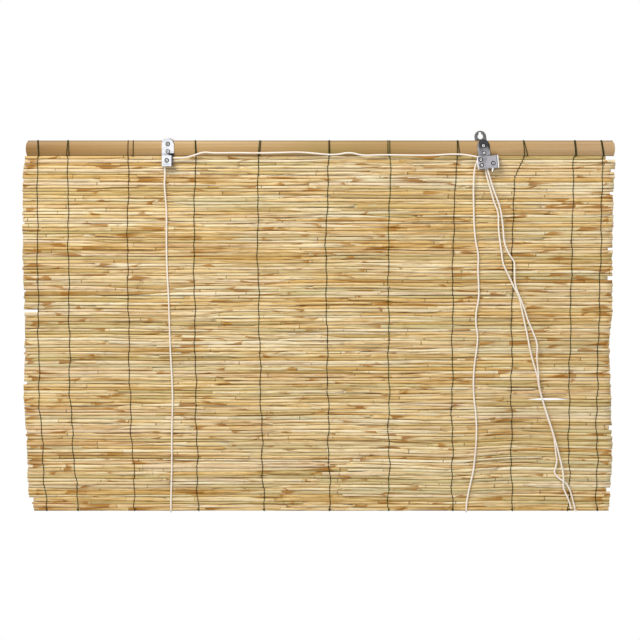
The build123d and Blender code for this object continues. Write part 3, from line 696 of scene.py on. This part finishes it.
def add_reed(lists, row, start, end, before, after):
    """Add one reed to the lists of points, faces and values of its band."""
    points, faces, values = lists
    first_point = len(points)
    joints, sheaths = reed_marks(start, end)
    tone = chance.gauss(tone_middle, tone_spread)
    slope = chance.choice((-1, 1)) * chance.uniform(0.05, 0.4)
    warmth = chance.random()
    green = max(0.0, chance.uniform(-1.3, 1.0))
    wobble = [1 + chance.uniform(-0.05, 0.05) for _ in range(ring_points)]
    sway, phase = chance.uniform(-0.2, 0.2), chance.uniform(0, 2 * pi)
    bare_end = chance.uniform(0.86, 1.0)

    def shape_at(x):
        low, high, push = room_at(x, before, after)
        bottom, top = line_height(row + 1, x, 1), line_height(row, x, -1)
        half = (top - bottom) * (high - low) / 2 * lane_fill
        if before is None:
            half *= bare_end + (1 - bare_end) * smooth((x - start) / bare_end_length)
        if after is None:
            half *= bare_end + (1 - bare_end) * smooth((end - x) / bare_end_length)
        swellings = [strength * (1 - abs(x - place) / joint_reach) for place, strength, _ in joints]
        joint = max([0.0] + swellings)
        deep = min(reed_depth_half - abs(push), half * 0.85 + 0.25)
        depth = mat_middle + sway * sin(x / sway_length + phase) + push * (reed_depth_half - deep) * 0.95
        height = bottom + (top - bottom) * (low + high) / 2
        return depth, height, half * (1 + 0.04 * joint), deep * (1 + 0.04 * joint)

    def values_for(x, dark):
        left_of = [place for place, _, _ in joints if place <= x] or [start]
        right_of = [place for place, _, _ in joints if place > x] or [end]
        share = (x - left_of[-1]) / max(right_of[0] - left_of[-1], 1.0)
        tone_here = tone + slope * (0.5 - share)

        def at_angle(angle):
            sheath = 0.0
            for place, length, strength, turn in sheaths:
                along = (x - place) / length - 0.12 * (1 + sin(angle + 3 * turn))
                if 0 <= along <= 1:
                    taper = (0.8 + 1.3 * along) * abs(sin((angle - turn) / 2))
                    sheath = max(sheath, strength * (1 - along) - taper)
            mark = dark
            for place, strength, turn in joints:
                if abs(x - place) < joint_reach:
                    round_it = 0.5 + 0.5 * cos(angle - turn)
                    fade = 1 - abs(x - place) / joint_reach
                    mark = max(mark, fade * min(1.0, strength * 1.6 * round_it))
            return tone_here, warmth, green, sheath, mark

        return at_angle

    # A blunt cut end: rings that step into the hollow, painted dark there as shade.
    def cut_end(x, inward):
        depth, height, half, deep = shape_at(x)
        for shrink, step_in, dark in cut_rings:
            place = x + step_in * inward
            add_ring(points, values, place, depth, height, half * shrink, deep * shrink, wobble,
                     values_for(x, dark))

    places = ring_places(start, end, joints, sheaths)
    cut_end(start, 1)
    for x in places:
        add_ring(points, values, x, *shape_at(x), wobble, values_for(x, 0.0))
    cut_end(end, -1)
    count = len(places) + 4
    order = [1, 0] + list(range(2, count))
    for ring_a, ring_b in zip(order, order[1:]):
        for step in range(ring_points):
            following = (step + 1) % ring_points
            a, b = first_point + ring_a * ring_points, first_point + ring_b * ring_points
            faces.append((a + step, a + following, b + following, b + step))
    start_ring, end_ring = first_point + order[0] * ring_points, first_point + order[-1] * ring_points
    faces.append(tuple(start_ring + step for step in reversed(range(ring_points))))
    faces.append(tuple(end_ring + step for step in range(ring_points)))


# %% Bands of reeds
def reed_band(name, first_row, last_row):
    """The reeds of some rows as one piece."""
    lists = [], [], []
    for row in range(first_row, last_row):
        for start, end, before, after in rows[row]:
            add_reed(lists, row, start, end, before, after)
    points, faces, values = lists
    mesh = bpy.data.meshes.new(name)
    mesh.from_pydata(points, [], faces)
    for number, label in enumerate(("tone", "warmth", "green", "sheath", "joint")):
        layer = mesh.attributes.new(label, "FLOAT", "POINT")
        layer.data.foreach_set("value", [value[number] for value in values])
    mesh.shade_smooth()
    mesh.materials.append(dry_reed)
    band = placed(name, mesh)
    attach(band, "blind")
    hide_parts("reed_mat")
    print(name, "rows", first_row, "to", last_row - 1, "faces", len(faces))


reed_band("reeds_upper", 0, 28)
reed_band("reeds_upper_middle", 28, 55)
reed_band("reeds_lower_middle", 55, 82)
reed_band("reeds_lower", 82, reed_count)

# %% [markdown]
# ## Warp threads
# Eleven pairs of thread hold the rows. Nine are dark green, one has browned and one is leaf green. The
# two strands of a pair pass alternately in front of and behind each reed and cross between the rows. At
# the top both go up over the front of the lath, round its upper edge and down its back. Each strand is
# a curve, so that it stays round and can wander.

# %% Thread material
def thread_finish(name, fresh, faded):
    """Twisted cotton thread in one colour that has faded to another in places."""
    material, tree, shader = new_material(name)
    old = placed_group(tree, age_blotches, Shift=3.0, Size=60.0, Stretch=1.0, Cover=0.5)
    twist = placed_group(tree, strand_twist, Turns=420.0, Waver=1.5)
    skin = mixed(tree, old, fresh, faded)
    skin = mixed(tree, times(tree, twist, 0.5), skin, tint(26, 28, 12))
    tree.links.new(skin, shader.inputs["Base Color"])
    shader.inputs["Roughness"].default_value = 0.85
    shader.inputs["Specular IOR Level"].default_value = 0.15
    bumped(tree, shader, twist, 0.5, 0.0002)
    return material


green_thread = thread_finish("green_thread", tint(52, 60, 26), tint(78, 62, 34))
brown_thread = thread_finish("browned_thread", tint(104, 70, 34), tint(70, 56, 28))
leaf_thread = thread_finish("leaf_green_thread", tint(78, 96, 44), tint(52, 62, 28))
thread_finishes = {3: brown_thread, 7: leaf_thread}
print("materials:", green_thread.name, brown_thread.name, leaf_thread.name)

# %% Where the threads run
# Each pair has its number, the X of its two strands at the lath's top and at its foot, and the X of the
# pair at four heights down the mat. The ninth pair has slipped, and has heights of its own.
thread_heights = (-35, -185, -446, -634)
slipped_heights = {9: (-35, -49, -71, -108, -176, -446, -634)}
thread_pairs = [
    (1, (-487.7, -486.3), (-485.8, -485.2), (-487.5, -487.7, -484.5, -472.4)),
    (2, (-436.4, -435.2), (-438.4, -434.0), (-436.1, -435.2, -432.3, -419.1)),
    (3, (-333.7, -325.0), (-334.4, -325.2), (-332.4, -335.1, -330.5, -321.3)),
    (4, (-220.0, -219.0), (-218.8, -217.4), (-219.3, -222.0, -218.5, -214.5)),
    (5, (-110.2, -108.1), (-112.7, -110.3), (-112.0, -113.9, -108.0, -102.9)),
    (6, (7.3, 8.5), (7.5, 9.0), (7.6, 2.2, 6.0, 9.4)),
    (7, (107.6, 110.7), (107.6, 110.7), (112.9, 108.6, 109.6, 109.6)),
    (8, (225.6, 226.8), (225.6, 229.7), (224.7, 218.6, 216.9, 217.4)),
    (9, (338.1, 339.0), (340.2, 345.4), (339.0, 332.4, 324.4, 321.3, 319.6, 317.7, 318.4)),
    (10, (424.8, 426.2), (426.9, 428.6), (423.8, 420.8, 415.7, 415.7)),
    (11, (469.7, 471.2), (474.1, 475.5), (472.6, 470.0, 463.1, 463.1)),
]
rail_top = -7.0
rail_foot = -33.3
rail_middle = (rail_top + rail_foot) / 2
rail_crest = 12.25
rail_edge_depth = 8.94
thread_radius = 0.88
share_on_mat = 0.8
share_on_lath = 0.76
strand_offset = 0.3  # how far each strand lies to the side of its pair's middle
strand_depth = 3.0  # how far it lies in front of or behind the middle of the mat
print("thread pairs laid out:", len(thread_pairs))


def between(stops, place):
    """The value at a place, from a list of (place, value) that goes downwards."""
    for (place_a, value_a), (place_b, value_b) in zip(stops, stops[1:]):
        if place >= place_b:
            return value_a + (value_b - value_a) * (place - place_a) / (place_b - place_a)
    return stops[-1][1]


# %% One strand of a pair
def strand_points(tops, feet, stops, side, number):
    """Points in millimetres from the lath's back, over it and down the mat. side is 0 or 1."""
    draw = random.Random(number * 10 + side)
    x_top, x_foot = tops[side], feet[side]
    out = thread_radius + 0.1
    points = [
        (x_top, 1.0, rail_foot + 1.5),
        (x_top, 1.0, rail_middle),
        (x_top, 1.1, rail_top - 2.0),
        (x_top, 1.6, rail_top + 0.6),
        (x_top, 4.6, rail_top + 0.35),
        (x_top, 7.6, rail_top + 0.35),
        (x_top, rail_edge_depth + 1.0, rail_top - 0.1),
    ]
    for step in range(1, 8):
        share = step / 8
        height = rail_top + (rail_foot - rail_top) * share
        bow = rail_crest - (rail_crest - rail_edge_depth) * (2 * share - 1) ** 2
        x = x_top + (x_foot - x_top) * share + draw.uniform(-0.15, 0.15)
        points.append((x, bow + out + 0.15, height))
    points.append((x_foot, rail_edge_depth + out + 0.3, rail_foot + 0.4))
    drift = number * 1.7
    for row in range(reed_count):
        x_pair = between(stops, mat_top - (row + 0.5) * reed_pitch)
        loose = 0.8 + 0.8 * (row / reed_count) ** 2
        stray = 0.9 * sin(row * 0.29 + drift) + 0.7 * sin(row * 0.83 + 2 * drift)
        x_pair += loose * stray + loose * draw.uniform(-0.3, 0.3)
        x = x_pair + strand_offset * (1 if (row + side) % 2 else -1)
        level = (line_height(row, x, -1) + line_height(row + 1, x, 1)) / 2
        in_front = (row + side) % 2 == 0
        depth = mat_middle + (strand_depth if in_front else -strand_depth)
        rise = (line_height(row, x, -1) - line_height(row + 1, x, 1)) * 0.24
        points.append((x, depth, level + rise))
        points.append((x, depth, level - rise))
    last_x = points[-1][0]
    points.append((last_x, mat_middle, mat_foot - 0.45))
    return points


# %% Foot knots and the thread pieces
def foot_knot(stops, seed):
    """A small overhand knot round the last reed's front, where the two strands are tied off."""
    draw = random.Random(seed)
    x_foot = stops[-1][1]
    turns = []
    for step in range(14):
        angle = 2 * pi * step / 7
        wide = 1.25 + draw.uniform(-0.15, 0.15)
        x = x_foot + wide * cos(angle)
        turns.append((x, mat_middle + 3.1 + 0.35 * sin(angle * 1.5), mat_foot + 2.4 + 0.95 * sin(angle)))
    return turns


def thinned(strand):
    """The points of a strand in metres, each with its share of the thread's radius."""
    points = []
    for x, depth, height in strand:
        share = share_on_mat if height < rail_foot - 1 else share_on_lath
        points.append((x * mm, -depth * mm, height * mm, share))
    return points


def thread_curve(number, strands):
    """A pair of strands, and the small knot at their foot, as one curve piece."""
    tubes = [thinned(strand) for strand in strands]
    pair = tube_curve(f"thread_{number:02d}", tubes, thread_radius * mm, roundness=1, steps=2)
    pair.data.materials.append(thread_finishes.get(number, green_thread))
    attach(pair, "blind")
    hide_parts(f"warp_{number:02d}")


for number, tops, feet, places in thread_pairs:
    stops = list(zip(slipped_heights.get(number, thread_heights), places))
    strands = [strand_points(tops, feet, stops, side, number) for side in (0, 1)]
    strands.append(foot_knot(stops, number))
    thread_curve(number, strands)
print("thread pairs:", len(thread_pairs))

# %% [markdown]
# ## Cords and their knots
# The two lift cords are the routes laid out above. Each starts from a small knot in the hollow back of
# the lath, and its pull end has a small knot too. A trefoil of cord drawn tight gives the knots' shape.

# %% Cord material
def cord_finish():
    """Off-white twisted cotton, greyed a little where hands have held it."""
    material, tree, shader = new_material("cotton_cord")
    twist = placed_group(tree, strand_twist, Turns=170.0, Waver=0.8)
    old = placed_group(tree, age_blotches, Shift=8.0, Size=24.0, Stretch=1.0, Cover=0.35)
    skin = mixed(tree, old, tint(254, 246, 234), tint(248, 230, 214))
    skin = mixed(tree, times(tree, twist, 0.2), skin, tint(226, 206, 196))
    tree.links.new(skin, shader.inputs["Base Color"])
    shader.inputs["Roughness"].default_value = 0.9
    shader.inputs["Specular IOR Level"].default_value = 0.15
    bumped(tree, shader, twist, 0.6, 0.0003)
    return material


cotton = cord_finish()
for cord in (left_cord, right_cord):
    cord.data.materials.append(cotton)
print("material:", cotton.name)


# %% Overhand knots
knot_radius = 1.15
knot_height = 1.35
knot_steps = 18
knot_cord_radius = 1.05


def knot_curve(name, middle, along, node):
    """An overhand knot, a trefoil of cord drawn tight, round a middle in metres."""
    up = Vector(along).normalized()
    across = up.cross(Vector((0, 1, 0))).normalized()
    out = across.cross(up).normalized()
    turns = []
    for step in range(knot_steps + 1):
        angle = 2 * pi * step / knot_steps
        ring = knot_radius * (1 + 0.45 * cos(1.5 * angle))
        lift = knot_height * sin(1.5 * angle)
        offset = across * ring * cos(angle) + out * 0.75 * ring * sin(angle) + up * lift
        turns.append(Vector(middle) + offset * mm)
    piece = tube_curve(name, [turns], knot_cord_radius * mm)
    piece.data.materials.append(cotton)
    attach(piece, "blind")
    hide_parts(node)
    return piece


def knot_at(name, node, direction):
    """A knot in the middle of the solid knot that it replaces."""
    low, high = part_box(node)
    middle = [(a + b) / 2 for a, b in zip(low, high)]
    return knot_curve(name, middle, direction, node)


left_anchor = knot_at("left_anchor_tie", "left_anchor_knot", (0, 0, 1))
right_anchor = knot_at("right_anchor_tie", "right_anchor_knot", (0, 0, 1))
left_pull = knot_at("left_pull_tie", "left_pull_knot", (0.29, 0, -0.96))
right_pull = knot_at("right_pull_tie", "right_pull_knot", (0.25, 0, -0.97))

for cord, node, start, length, ties in (
    (left_cord, "left_lift_cord", left_cord_route[0], 2.38, (left_anchor, left_pull)),
    (right_cord, "right_lift_cord", right_cord_route[0], 1.86, (right_anchor, right_pull)),
):
    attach(cord, "blind")
    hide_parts(node)

# %% [markdown]
# ## Head rail
# The lath is split from a thick bamboo stem, so its front is round and its back hollow, and its sawn
# ends are not quite straight. The section follows the solid lath, and its front edges slope a little.
# Rings along it allow the uneven ends and the two notches at the back where the cords come in.

# %% Bamboo material
def bamboo_finish():
    """The smooth outside of a thick stem: long grain, warm and greenish bands, and painted shade along its
    long edges.
    """
    material, tree, shader = new_material("split_bamboo")
    x, _, z = place_on(tree)
    fine = placed_group(tree, long_fibres, Shift=4.0, Along=6.0, Across=1500.0, Contrast=1.0)
    broad = placed_group(tree, long_fibres, Shift=9.0, Along=4.0, Across=260.0, Contrast=1.0)
    stains = placed_group(tree, age_blotches, Shift=2.0, Size=14.0, Stretch=0.4, Cover=0.45)
    green = placed_group(tree, age_blotches, Shift=12.0, Size=16.0, Stretch=0.35, Cover=0.45)
    along = ranged(tree, x, -0.51, 0.495)
    skin = ramp_of(tree, along, [
        (0.0, tint(132, 96, 50)),
        (0.07, tint(168, 131, 80)),
        (0.3, tint(207, 174, 124)),
        (0.62, tint(177, 144, 92)),
        (0.8, tint(200, 166, 118)),
        (1.0, tint(206, 174, 136)),
    ])
    skin = mixed(tree, ranged(tree, broad, 0.0, 1.0, 0.0, 0.6), skin, tint(172, 136, 80))
    skin = mixed(tree, times(tree, stains, 0.35), skin, tint(226, 192, 146))
    green_part = times(tree, green, ranged(tree, x, -0.16, 0.0, 0.0, 0.5))
    skin = mixed(tree, green_part, skin, tint(158, 142, 72))
    skin = mixed(tree, ranged(tree, fine, 0.2, 1.0, 0.0, 0.45), skin, tint(156, 116, 68))
    # Painted shade along the lath's upper and lower long edges.
    shaded_upper_edge = ranged(tree, z, -0.0092, -0.0076, 0.0, 0.75)
    shaded_lower_edge = ranged(tree, z, -0.0318, -0.0332, 0.0, 0.8)
    edges = strongest(tree, shaded_upper_edge, shaded_lower_edge)
    skin = mixed(tree, edges, skin, tint(84, 58, 22))
    tree.links.new(skin, shader.inputs["Base Color"])
    tree.links.new(ranged(tree, fine, 0.0, 1.0, 0.36, 0.55), shader.inputs["Roughness"])
    shader.inputs["Specular IOR Level"].default_value = 0.35
    bumped(tree, shader, fine, 0.3, 0.0002)
    return material


split_bamboo = bamboo_finish()
print("material:", split_bamboo.name)

# %% Lath
rail_left = -504.6
rail_right = 490.6
rail_back = 1.5
rail_hollow = 3.75
rail_lip = 1.3
notch_top = -25.65
notch_half_width = 1.6
cord_notches = (-282.0, 241.0)
rail_half = (rail_top - rail_foot) / 2
rail_steps = 50
end_bulge = 2.2


def rail_section():
    """The (depth, height) points round the lath's section, and which of them a notch cuts back."""
    points = []
    for step in range(21):
        share = -1 + 2 * step / 20
        depth = rail_crest - (rail_crest - rail_edge_depth) * share * share
        points.append((depth, rail_middle - share * (rail_half - 0.35)))
    points.append((rail_edge_depth - 0.6, rail_foot))
    first_back = len(points)
    points.append((rail_back, rail_foot))
    points.append((rail_back, rail_foot + rail_lip))
    for step in range(1, 8):
        share = -1 + 2 * step / 8
        height = rail_middle + share * (rail_half - rail_lip)
        points.append((rail_back + rail_hollow * (1 - share * share), height))
    points.append((rail_back, rail_top - rail_lip))
    points.append((rail_back, rail_top))
    points.append((rail_edge_depth - 0.6, rail_top))
    return points, first_back


def rail_end(x_end, height, depth, direction):
    """How far a sawn end lies out at this point of the section."""
    share = (height - rail_middle) / rail_half
    bulge = end_bulge * (1 - share * share) - (1.4 if share > 0.75 else 0.4 * share)
    return x_end + direction * (bulge + 0.08 * (depth - rail_back))


def lath():
    """The lath as one mesh of rings."""
    section, first_back = rail_section()
    count = len(section)
    stops = [rail_left + (rail_right - rail_left) * step / rail_steps for step in range(1, rail_steps)]
    for notch in cord_notches:
        for edge in (notch - notch_half_width, notch + notch_half_width):
            stops += [edge - 0.02, edge + 0.02]
    points = []
    for x in [None] + sorted(stops) + [None]:
        x_end, outward = (rail_right, 1) if points else (rail_left, -1)
        for number, (depth, height) in enumerate(section):
            place = x
            if x is None:
                place = rail_end(x_end, height, depth, outward)
            elif height < notch_top and number >= first_back:
                if any(abs(x - notch) < notch_half_width for notch in cord_notches):
                    depth = rail_back + rail_hollow
            points.append((place * mm, -depth * mm, height * mm))
    faces = []
    rings = len(points) // count
    for ring in range(rings - 1):
        for step in range(count):
            following = (step + 1) % count
            a, b = ring * count, (ring + 1) * count
            faces.append((a + step, b + step, b + following, a + following))
    faces.append(tuple(range(count)))
    faces.append(tuple(reversed(range(count * (rings - 1), count * rings))))
    mesh = bpy.data.meshes.new("bamboo_lath")
    mesh.from_pydata(points, [], faces)
    mesh.validate()
    mesh.materials.append(split_bamboo)
    rail = placed("bamboo_lath", mesh)
    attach(rail, "blind")
    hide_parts("headrail")
    return rail


bamboo_lath = lath()
print("lath faces:", len(bamboo_lath.data.polygons))

# %% [markdown]
# ## Hangers, lock and wheels
# These keep the shape of their solids and get finishes of their own. One zinc is painted in a lit copy
# on the left hanger and in shaded copies on the lock and the right hanger plate; the wheels are worn
# steel. A dark ring round each rivet is a node group that the hangers' finishes place at each axis, and
# the same ring marks out painted shade on the rim of the left strap. The hollow of each rivet head is
# painted nearly black, as shade, so its faces, which lie deeper than the rim and close to the axis, get
# a finish of their own.


# %% Dark rings on the hangers
def ring_group():
    """A dark ring round an axis square to the wall, with its radii in metres."""
    group, given, mask = group_with("grime_ring", X=0.0, Z=0.0, Inner=0.0037, Outer=0.0042)
    x, _, z = place_on(group)
    squares = []
    for part, axis in ((x, "X"), (z, "Z")):
        squares.append(reckoned(group, "POWER", reckoned(group, "SUBTRACT", part, given[axis]), 2.0))
    distance = reckoned(group, "SQRT", reckoned(group, "ADD", *squares))
    group.links.new(ranged(group, distance, given["Inner"], given["Outer"], 1.0, 0.0), mask)
    return group


grime_ring = ring_group()
rivet_axes = {
    "left_rivets": [(-266.2, -13.4), (-266.2, -25.8)],
    "right_rivets": [(270.0, -16.0), (271.08, -28.35)],
    "left_pulley_axle": [(-267.75, -41.14)],
    "lock_pulley_axle": [(265.204, -40.12)],
    "lock_roller_axle": [(266.895, -49.468)],
    "lock_cam_pivot": [(286.45, -46.07)],
}


print("dark rings:", sum(len(axes) for axes in rivet_axes.values()))


# %% Dark and bright marks of the two housings
def strap_axis(tree, direction):
    """How far a point lies along a direction in the plane of the hanger, in metres."""
    place = tree.nodes.new("ShaderNodeTexCoord")
    along = tree.nodes.new("ShaderNodeVectorMath")
    along.operation = "DOT_PRODUCT"
    along.inputs[1].default_value = direction
    tree.links.new(place.outputs["Object"], along.inputs[0])
    return along.outputs["Value"]


def rivet_dark_rings(tree, side):
    """A dark ring round each rivet of one hanger."""
    axes = [axis for node_axes in rivet_axes.values() for axis in node_axes]
    near = [(x, z) for x, z in axes if (x < 0) == (side == "left")]
    rings = [placed_group(tree, grime_ring, X=x * mm, Z=z * mm) for x, z in near]
    return times(tree, strongest(tree, *rings), 0.92)


def on_strap(tree):
    """The flat strap on the lath and the rear cheek, and not the front cheek."""
    return ranged(tree, place_on(tree)["Y"], -0.0146, -0.0142)


def left_shade_marks(tree):
    """Where the left housing is darkened: a dark ring at each rivet, and painted shade on the strap above
    the fold, on the rim of its round top and at the open side.
    """
    across = strap_axis(tree, (1.0, 0.0, 0.0))
    level = strap_axis(tree, (0.0, 0.0, 1.0))
    # Painted shade on the strap just above the front cheek, stronger to the right.
    above = times(tree, ranged(tree, level, -0.0278, -0.0294), on_strap(tree))
    seam = times(tree, above, ranged(tree, across, -0.2675, -0.2635, 0.25, 1.0))
    # Painted shade along the upper right rim of the round top.
    round_top = placed_group(tree, grime_ring, X=-0.2662, Z=-0.0131, Inner=0.0086, Outer=0.0096)
    upper_right = times(tree, ranged(tree, across, -0.266, -0.262), ranged(tree, level, -0.014, -0.010))
    rim = times(tree, reckoned(tree, "SUBTRACT", 1.0, round_top), upper_right)
    # Painted shade along the right edge of the front cheek, where the box is open.
    open_side_shade = times(tree, ranged(tree, across, -0.2604, -0.2597), ranged(tree, level, -0.0322, -0.0326))
    edges = strongest(tree, seam, times(tree, rim, 0.85), times(tree, open_side_shade, 0.9))
    return strongest(tree, rivet_dark_rings(tree, "left"), edges), None


def lock_shade_and_highlights(tree):
    """Where the lock is darkened and lightened: a dark ring at each rivet, painted shade on the strap above
    the cheek, towards its top, along its right rim and just before the fold, and painted highlight on the
    fold at its right and on the edge at its left.
    """
    turn = radians(5.0)
    across = strap_axis(tree, (cos(turn), 0.0, sin(turn)))
    level = strap_axis(tree, (-sin(turn), 0.0, cos(turn)))
    # Painted shade on the strap just above the front cheek, and more of it towards the strap's top, less on
    # a strip at its left.
    above = ranged(tree, level, -0.0560, -0.0573)
    left_strip = times(tree, ranged(tree, across, 0.2610, 0.2590), 0.5)
    upper = ranged(tree, level, -0.0490, -0.0400, 0.15, 0.9)
    upper = reckoned(tree, "SUBTRACT", upper, left_strip, clamp=True)
    # Painted shade along the strap's upper right rim.
    right_rim_shade = times(tree, ranged(tree, across, 0.2740, 0.2762), ranged(tree, level, -0.0500, -0.0440))
    strap_shade = times(tree, strongest(tree, above, upper, right_rim_shade), on_strap(tree))
    # Painted highlight on the fold at the right, with painted shade just left of it.
    fold = ranged(tree, across, 0.2886, 0.2894)
    off_fold = reckoned(tree, "SUBTRACT", 1.0, fold)
    shade_before_fold = times(tree, ranged(tree, across, 0.2870, 0.2880, 0.0, 0.6), off_fold)
    dark = strongest(tree, rivet_dark_rings(tree, "right"), strap_shade, shade_before_fold)
    # Painted highlight on the edge of the rear cheek at the left.
    lit_left_edge = times(tree, ranged(tree, across, 0.2562, 0.2552), ranged(tree, level, -0.0570, -0.0578))
    return dark, strongest(tree, fold, lit_left_edge)


# %% Metal materials
def rivet_edge_shade(tree):
    """Painted shade on the rounded edge of a rivet's head, all round, and none on its flat face."""
    forward = facing_on(tree)["Y"]
    return times(tree, ranged(tree, times(tree, forward, forward), 0.86, 0.5), 0.92), None


def zinc_finish(name, bright, dull, roughness, seed, marks=None):
    """Zinc plate: faint clouds, fine scratches and a little dirt, and its own dark marks, mostly painted
    shade, and painted highlights.
    """
    material, tree, shader = new_material(name)
    clouds = placed_group(tree, age_blotches, Shift=seed, Size=110.0, Stretch=1.0, Cover=0.5)
    dirt = placed_group(tree, age_blotches, Shift=seed + 5, Size=60.0, Stretch=1.0, Cover=0.25)
    scratches = placed_group(tree, long_fibres, Shift=seed, Along=60.0, Across=2600.0, Contrast=1.0)
    skin = mixed(tree, clouds, bright, dull)
    skin = mixed(tree, times(tree, dirt, 0.2), skin, tint(96, 92, 84))
    if marks:
        dark, painted_highlight = marks(tree)
        if painted_highlight:
            skin = mixed(tree, painted_highlight, skin, tint(240, 240, 242))
        skin = mixed(tree, dark, skin, tint(24, 24, 26))
    tree.links.new(skin, shader.inputs["Base Color"])
    shader.inputs["Metallic"].default_value = 0.8
    rough = ranged(tree, scratches, 0.0, 1.0, roughness, roughness + 0.16)
    tree.links.new(rough, shader.inputs["Roughness"])
    bumped(tree, shader, scratches, 0.15, 0.0001)
    return material


# One zinc in lit and shaded copies: painted light on the left hanger, painted shade on the lock and on the
# right hanger plate.
lit_zinc = zinc_finish("lit_zinc", tint(246, 247, 246), tint(232, 234, 232), 0.34, 3.0)
lit_left_zinc = zinc_finish("zinc_lit_left", tint(228, 230, 235), tint(206, 209, 215), 0.34, 11.0, left_shade_marks)
shaded_lock_zinc = zinc_finish("zinc_in_shade_lock", tint(166, 164, 169), tint(138, 137, 143), 0.36, 23.0, lock_shade_and_highlights)
shaded_tab_zinc = zinc_finish("zinc_in_shade_tab", tint(112, 112, 110), tint(88, 88, 88), 0.4, 37.0)
rivet_zinc = zinc_finish("rivet_zinc", tint(244, 244, 242), tint(214, 214, 212), 0.28, 31.0, rivet_edge_shade)
wheel_steel = zinc_finish("worn_steel", tint(150, 148, 142), tint(112, 110, 104), 0.38, 43.0)
# The hollow of a rivet head is painted nearly black, as shade.
painted_hollow_shade, hollow_tree, hollow_shader = new_material("rivet_hollow_shade")
hollow_mottle = placed_group(hollow_tree, age_blotches, Shift=7.0, Size=400.0, Stretch=1.0, Cover=0.5)
hollow_skin = mixed(hollow_tree, hollow_mottle, tint(40, 38, 36), tint(74, 70, 64))
hollow_tree.links.new(hollow_skin, hollow_shader.inputs["Base Color"])
hollow_shader.inputs["Roughness"].default_value = 0.8

finishes = {
    "left_hanger_plate": lit_zinc,
    "left_pulley_housing": lit_left_zinc,
    "right_hanger_plate": shaded_tab_zinc,
    "lock_housing": shaded_lock_zinc,
    "left_rivets": rivet_zinc,
    "right_rivets": rivet_zinc,
    "left_pulley_axle": rivet_zinc,
    "lock_pulley_axle": rivet_zinc,
    "lock_roller_axle": rivet_zinc,
    "lock_cam_pivot": rivet_zinc,
    "left_pulley": wheel_steel,
    "lock_pulley": wheel_steel,
    "lock_roller": wheel_steel,
    "lock_cam": lit_zinc,
}


def meshes_of(node):
    """The mesh pieces of one solid node."""
    return [
        piece for piece in bpy.data.objects
        if piece.type == "MESH" and (piece.name == node or piece.name.startswith(f"{node}."))
    ]


for node, finish in finishes.items():
    for piece in meshes_of(node):
        piece.data.materials.clear()
        piece.data.materials.append(finish)
print("finished solids:", len(finishes))


# %% Painted shade in the hollows of the rivet heads
hollow_radius = 1.12
hollow_foot = 1.75  # its floor and mouth, as depths behind the rim
hollow_mouth = 0.05


def darken_hollows(node, axes, rim_depth):
    """Give the faces inside a rivet's hollow head the dark finish, painted shade. Axes are (X, Z) in
    millimetres.
    """
    darkened = 0
    for piece in meshes_of(node):
        piece.data.materials.append(painted_hollow_shade)
        for face in piece.data.polygons:
            spot = piece.matrix_world @ face.center
            inside = rim_depth - hollow_foot < -spot.y / mm < rim_depth - hollow_mouth
            for x, z in axes:
                if inside and hypot(spot.x / mm - x, spot.z / mm - z) < hollow_radius:
                    face.material_index = 1
                    darkened += 1
    return darkened


for node, axes in rivet_axes.items():
    front = -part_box(node)[0][1] / mm
    print(node, "hollow faces:", darken_hollows(node, axes, front))

# %% [markdown]
# ## Light and surroundings
# The background is plain white. The camera sees the world as white, while the light that it casts on
# the blind is softer, and most of the shape comes from one large lamp at the upper left in front. A
# pale floor lies far below the blind.

# %% World
world = bpy.data.worlds.new("plain_white")
bpy.context.scene.world = world
world.use_nodes = True
sky = world.node_tree
seen = sky.nodes["Background"]
cast = sky.nodes.new("ShaderNodeBackground")
for background, strength in ((seen, 1.0), (cast, 0.38)):
    background.inputs["Color"].default_value = (1.0, 1.0, 1.0, 1.0)
    background.inputs["Strength"].default_value = strength
rays = sky.nodes.new("ShaderNodeLightPath").outputs
direct = strongest(sky, rays["Is Camera Ray"], rays["Is Glossy Ray"], rays["Is Transmission Ray"])
choice = sky.nodes.new("ShaderNodeMixShader")
for source, socket in zip((direct, cast.outputs[0], seen.outputs[0]), choice.inputs):
    sky.links.new(source, socket)
sky.links.new(choice.outputs[0], sky.nodes["World Output"].inputs["Surface"])
bpy.context.scene.view_settings.view_transform = "Standard"
print("world:", world.name)


# %% Lamps
def soft_lamp(name, place, aim, size, power, colour):
    """A square area lamp that points at a spot."""
    data = bpy.data.lights.new(name, "AREA")
    data.size = size
    data.energy = power
    data.color = colour
    lamp = placed(name, data)
    lamp.location = place
    lamp.rotation_euler = (Vector(aim) - Vector(place)).to_track_quat("-Z", "Y").to_euler()


soft_lamp("window_light", (-1.3, -2.0, 2.2), (0, 0, -0.3), 1.7, 98.0, (1.0, 0.985, 0.955))
soft_lamp("room_light", (1.9, -2.4, 0.2), (0, 0, -0.3), 2.2, 14.0, (0.97, 0.98, 1.0))
print("lamps:", len(bpy.data.lights))

# %% Floor
floor_half, floor_level = 1.6, -1.45
floor_mesh = bpy.data.meshes.new("floor")
corners = [(x * floor_half, y * floor_half, floor_level) for x, y in ((-1, -1), (1, -1), (1, 1), (-1, 1))]
floor_mesh.from_pydata(corners, [], [(0, 1, 2, 3)])
floor = placed("floor", floor_mesh)
floor_finish, floor_tree, floor_shader = new_material("pale_floor")
speckle = placed_group(floor_tree, age_blotches, Shift=1.0, Size=3.0, Stretch=1.0, Cover=0.5)
floor_skin = mixed(floor_tree, speckle, tint(240, 240, 240), tint(232, 231, 229))
floor_tree.links.new(floor_skin, floor_shader.inputs["Base Color"])
floor_shader.inputs["Roughness"].default_value = 0.7
floor_mesh.materials.append(floor_finish)
print("floor at", floor_level, "m")
